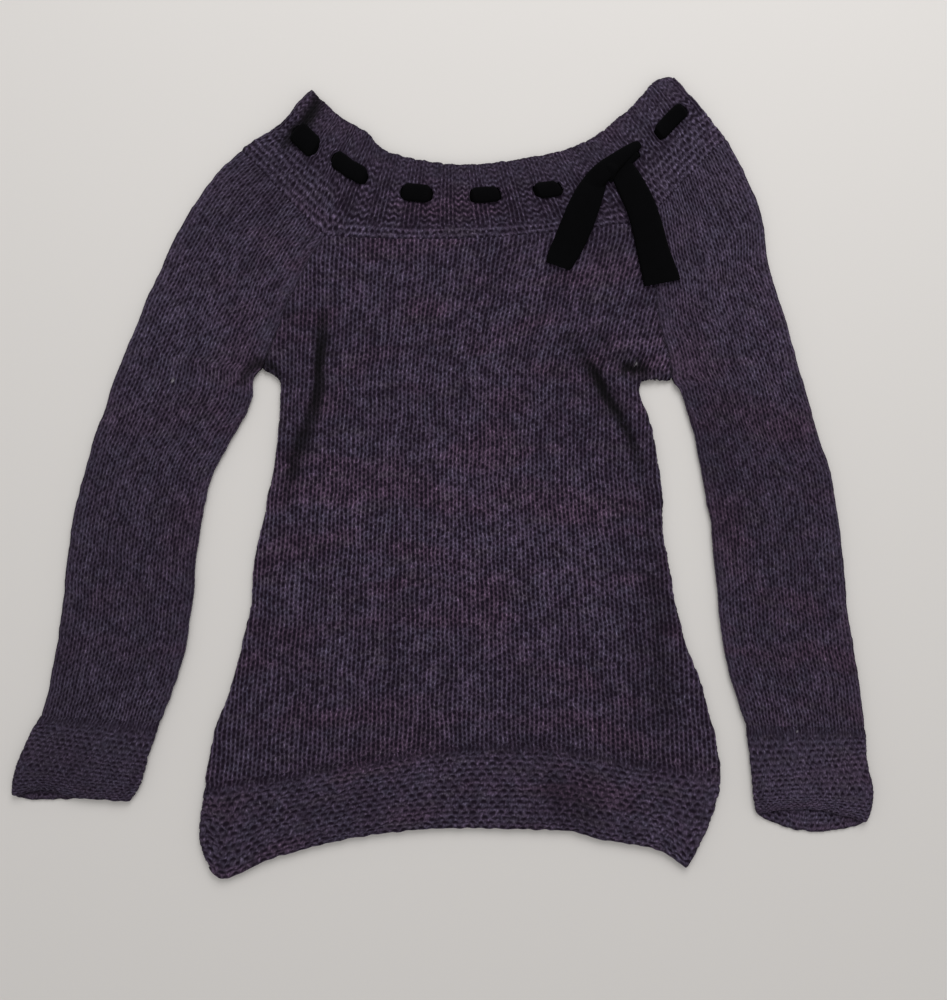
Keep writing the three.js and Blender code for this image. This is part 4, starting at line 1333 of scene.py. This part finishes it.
def velvet_material(name, colours):
    nodes = Nodes(name)
    spot = nodes.object_place()
    pile = nodes.noise(spot, 1600.0, 2.0, 0.7)
    brushed = nodes.noise(spot, 120.0, 2.0)
    shade = 0.5 + 0.6 * pile + 0.5 * brushed
    colour = nodes.scaled((*colours.velvet,), shade)
    bump = nodes.add("ShaderNodeBump", None, {
        "Strength": 0.5, "Distance": 0.0003, "Height": pile + brushed})
    return nodes.finish(colour, bump, {
        "Roughness": 0.95, "Specular IOR Level": 0.05, "Sheen Weight": 0.004, "Sheen Roughness": 0.4,
        "Sheen Tint": (0.5, 0.5, 0.55, 1)})


# Pattern of each kind of knitting, the strength of its contrast, mostly painted light on the yarn
# against painted shade in its holes, and its brightness
KNITS = {
    "stocking_stitch": (stocking_pattern, 1.0, 1.34),
    "garter_stitch": (garter_pattern, 1.15, 0.91),
    "rib_stitch": (rib_pattern, 1.45, 1.32),
}


def material_for(slot, colours):
    name = "black_velvet" if slot == "velvet" else f"{slot}_wool"
    made = bpy.data.materials.get(name)
    if made is not None:
        return made
    if slot == "velvet":
        return velvet_material(name, colours)
    return knit_material(name, colours, *KNITS[slot])


def floor_material(colours):
    nodes = Nodes("pale_floor")
    spot = nodes.object_place()
    grain = nodes.noise(spot, 60.0, 2.0)
    bump = nodes.add("ShaderNodeBump", None, {"Strength": 0.05, "Distance": 0.0005, "Height": grain})
    return nodes.finish((*colours.floor, 1), bump, {"Roughness": 0.8, "Specular IOR Level": 0.2})


# ---------------------------------------------------------------- settings

class PulloverSizes(bpy.types.PropertyGroup):
    """Sizes of the knitting and the ribbon"""

    relief: bpy.props.FloatProperty(
        name="Stitch relief", description="Height of the yarn over the gaps between the stitches",
        default=0.0016, unit="LENGTH")
    seam_depth: bpy.props.FloatProperty(
        name="Seam depth", description="Depth of the groove along a seam", default=0.0007,
        unit="LENGTH")
    seam_half: bpy.props.FloatProperty(
        name="Seam half width", description="Half the width of the groove along a seam",
        default=0.0022, unit="LENGTH")
    ribbon_round: bpy.props.FloatProperty(
        name="Ribbon rounding", description="Length over which the ribbon narrows into an eyelet",
        default=0.0066, unit="LENGTH")


class PulloverColours(bpy.types.PropertyGroup):
    """Colours of the yarn, the ribbon and the floor"""

    mauve: bpy.props.FloatVectorProperty(
        name="Mauve", description="Main colour of the heathered yarn", default=(0.0850, 0.0590, 0.1030),
        subtype="COLOR")
    blue_grey: bpy.props.FloatVectorProperty(
        name="Blue grey", description="Cool colour of the heathered yarn",
        default=(0.0715, 0.0615, 0.0985), subtype="COLOR")
    plum: bpy.props.FloatVectorProperty(
        name="Plum", description="Reddish colour of the heathered yarn",
        default=(0.0960, 0.0560, 0.0950), subtype="COLOR")
    taupe: bpy.props.FloatVectorProperty(
        name="Taupe", description="Greyish brown colour of the heathered yarn",
        default=(0.0740, 0.0600, 0.0800), subtype="COLOR")
    # Painted shade: the colour that the yarn fades to in the holes and gaps between the stitches
    hole: bpy.props.FloatVectorProperty(
        name="Hole", description="Colour deep in the holes of the knitting",
        default=(0.0062, 0.0026, 0.0084), subtype="COLOR")
    lint: bpy.props.FloatVectorProperty(
        name="Lint", description="Colour of the specks of lint", default=(0.28, 0.26, 0.29),
        subtype="COLOR")
    velvet: bpy.props.FloatVectorProperty(
        name="Velvet", description="Colour of the velvet ribbon", default=(0.0010, 0.0010, 0.0013),
        subtype="COLOR")
    floor: bpy.props.FloatVectorProperty(
        name="Floor", description="Colour of the floor", default=(0.68, 0.66, 0.64),
        subtype="COLOR")


# ---------------------------------------------------------------- operators

# Grid steps across a wale and down a course, and on a sleeve across its front, its back and down
STEPS_OF = {
    "front": (6, 3), "back": (4, 2), "hem": (6, 4), "sleeve": (6, 4, 3), "cuff": (5, 4),
    "neckband": (6, 4),
}


def finish_piece(context, piece, node, slot):
    piece.data.materials.append(material_for(slot, context.scene.pullover_colours))
    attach(piece, BODY)
    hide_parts(node)


VIEW_CENTRE = Vector((27.2, -20.8, 5)) * MM
VIEW_WIDTH = 0.85
VIEW_DISTANCE = 0.93
SENSOR = 36
FLOOR_SIZE = 24
WINDOW_SIZE = 1.3
WINDOW_POWER = 19
WINDOW_PLACE = Vector((0.3, 1.3, 1.3))
SKY_COLOUR = (1, 0.99, 0.98, 1)
SKY_STRENGTH = 0.6


class PULLOVER_OT_stage(bpy.types.Operator):
    """Sets up the floor, the light and the camera"""

    bl_idname = "pullover.stage"
    bl_label = "Stage"

    def execute(self, context):
        scene = context.scene
        data = bpy.data.cameras.new("camera")
        data.sensor_width = SENSOR
        data.lens = SENSOR * VIEW_DISTANCE / VIEW_WIDTH
        camera = bpy.data.objects.new("camera", data)
        scene.collection.objects.link(camera)
        camera.location = VIEW_CENTRE + Vector((0, 0, VIEW_DISTANCE))
        scene.camera = camera
        bpy.ops.object.select_all(action="DESELECT")
        bpy.ops.mesh.primitive_plane_add(size=FLOOR_SIZE, location=(0, 0, 0))
        floor = context.active_object
        floor.name = "floor"
        floor.data.materials.append(floor_material(scene.pullover_colours))
        light_data = bpy.data.lights.new("window", "AREA")
        light_data.shape = "DISK"
        light_data.size = WINDOW_SIZE
        light_data.energy = WINDOW_POWER
        light = bpy.data.objects.new("window", light_data)
        scene.collection.objects.link(light)
        light.location = WINDOW_PLACE
        light.rotation_euler = (-WINDOW_PLACE).to_track_quat("-Z", "Y").to_euler()
        world = bpy.data.worlds.new("soft_light")
        world.use_nodes = True
        sky = world.node_tree.nodes["Background"]
        sky.inputs["Color"].default_value = SKY_COLOUR
        sky.inputs["Strength"].default_value = SKY_STRENGTH
        scene.world = world
        scene.view_settings.view_transform = "Standard"
        return {"FINISHED"}


class PULLOVER_OT_body(bpy.types.Operator):
    """Knits the front with its creases and the back, which lies on the floor"""

    bl_idname = "pullover.body"
    bl_label = "Front and back"

    def execute(self, context):
        for node, layer, under in (("front", 1, ["back_knit"]), ("back", -1, [])):
            piece = body_panel(f"{node}_knit", layer, *STEPS_OF[node], context.scene.pullover_sizes)
            finish_piece(context, piece, node, "stocking_stitch")
        return {"FINISHED"}


class PULLOVER_OT_hem_bands(bpy.types.Operator):
    """Knits the garter stitch bands at the hem"""

    bl_idname = "pullover.hem_bands"
    bl_label = "Hem bands"

    def execute(self, context):
        for name, layer, under in (("front", 1, ["back_hem_knit"]), ("back", -1, [])):
            piece = hem_band(f"{name}_hem_knit", layer, *STEPS_OF["hem"], context.scene.pullover_sizes)
            finish_piece(context, piece, f"{name}_hem_band", "garter_stitch")
        return {"FINISHED"}


class PULLOVER_OT_sleeves(bpy.types.Operator):
    """Knits the two sleeves, folded along their outer edges"""

    bl_idname = "pullover.sleeves"
    bl_label = "Sleeves"

    def execute(self, context):
        for name in SIDES:
            piece = sleeve(
                f"{name}_sleeve_knit", name, *STEPS_OF["sleeve"], context.scene.pullover_sizes)
            finish_piece(context, piece, f"{name}_sleeve", "stocking_stitch")
        return {"FINISHED"}


class PULLOVER_OT_cuffs(bpy.types.Operator):
    """Knits the garter stitch cuffs"""

    bl_idname = "pullover.cuffs"
    bl_label = "Cuffs"

    def execute(self, context):
        for name in SIDES:
            piece = cuff(f"{name}_cuff_knit", name, *STEPS_OF["cuff"], context.scene.pullover_sizes)
            finish_piece(context, piece, f"{name}_cuff", "garter_stitch")
        return {"FINISHED"}


class PULLOVER_OT_neckband(bpy.types.Operator):
    """Knits the ribbed neckband with its eyelets"""

    bl_idname = "pullover.neckband"
    bl_label = "Neckband"

    def execute(self, context):
        piece = neckband(*STEPS_OF["neckband"], context.scene.pullover_sizes)
        finish_piece(context, piece, "neckband", "rib_stitch")
        return {"FINISHED"}


class PULLOVER_OT_ribbon(bpy.types.Operator):
    """Threads the velvet ribbon through the neckband and ties it"""

    bl_idname = "pullover.ribbon"
    bl_label = "Ribbon"

    def execute(self, context):
        strip = ribbon(context.scene.pullover_sizes)
        finish_piece(context, strip, "ribbon", "velvet")
        band = strip_along("ribbon_tie", TIE_BAND, thick=1.6, arch=1.2)
        wrap = strip_along("ribbon_wrap", TIE_WRAP, thick=1.4, arch=1.0)
        for piece in (band, wrap):
            finish_piece(context, piece, "ribbon_knot", "velvet")
        for name in SIDES:
            tail = strip_along(f"ribbon_end_{name}", TAILS[name], thick=1.3, arch=0.9)
            finish_piece(context, tail, f"ribbon_tail_{name}", "velvet")
        return {"FINISHED"}


class PULLOVER_PT_panel(bpy.types.Panel):
    """Lists the steps that make the pullover"""

    bl_idname = "PULLOVER_PT_panel"
    bl_label = "Pullover"
    bl_space_type = "VIEW_3D"
    bl_region_type = "UI"
    bl_category = "Pullover"

    def draw(self, context):
        for operator in STEPS:
            self.layout.operator(operator.bl_idname)


STEPS = (
    PULLOVER_OT_stage, PULLOVER_OT_body, PULLOVER_OT_hem_bands, PULLOVER_OT_sleeves,
    PULLOVER_OT_cuffs, PULLOVER_OT_neckband, PULLOVER_OT_ribbon,
)
CLASSES = (PulloverSizes, PulloverColours, *STEPS, PULLOVER_PT_panel)


def register():
    for item in CLASSES:
        bpy.utils.register_class(item)
    bpy.types.Scene.pullover_sizes = bpy.props.PointerProperty(type=PulloverSizes)
    bpy.types.Scene.pullover_colours = bpy.props.PointerProperty(type=PulloverColours)


def unregister():
    del bpy.types.Scene.pullover_colours
    del bpy.types.Scene.pullover_sizes
    for item in reversed(CLASSES):
        bpy.utils.unregister_class(item)


def main():
    register()
    for operator in STEPS:
        group, name = operator.bl_idname.split(".")
        getattr(getattr(bpy.ops, group), name)()


if __name__ == "__main__":
    main()
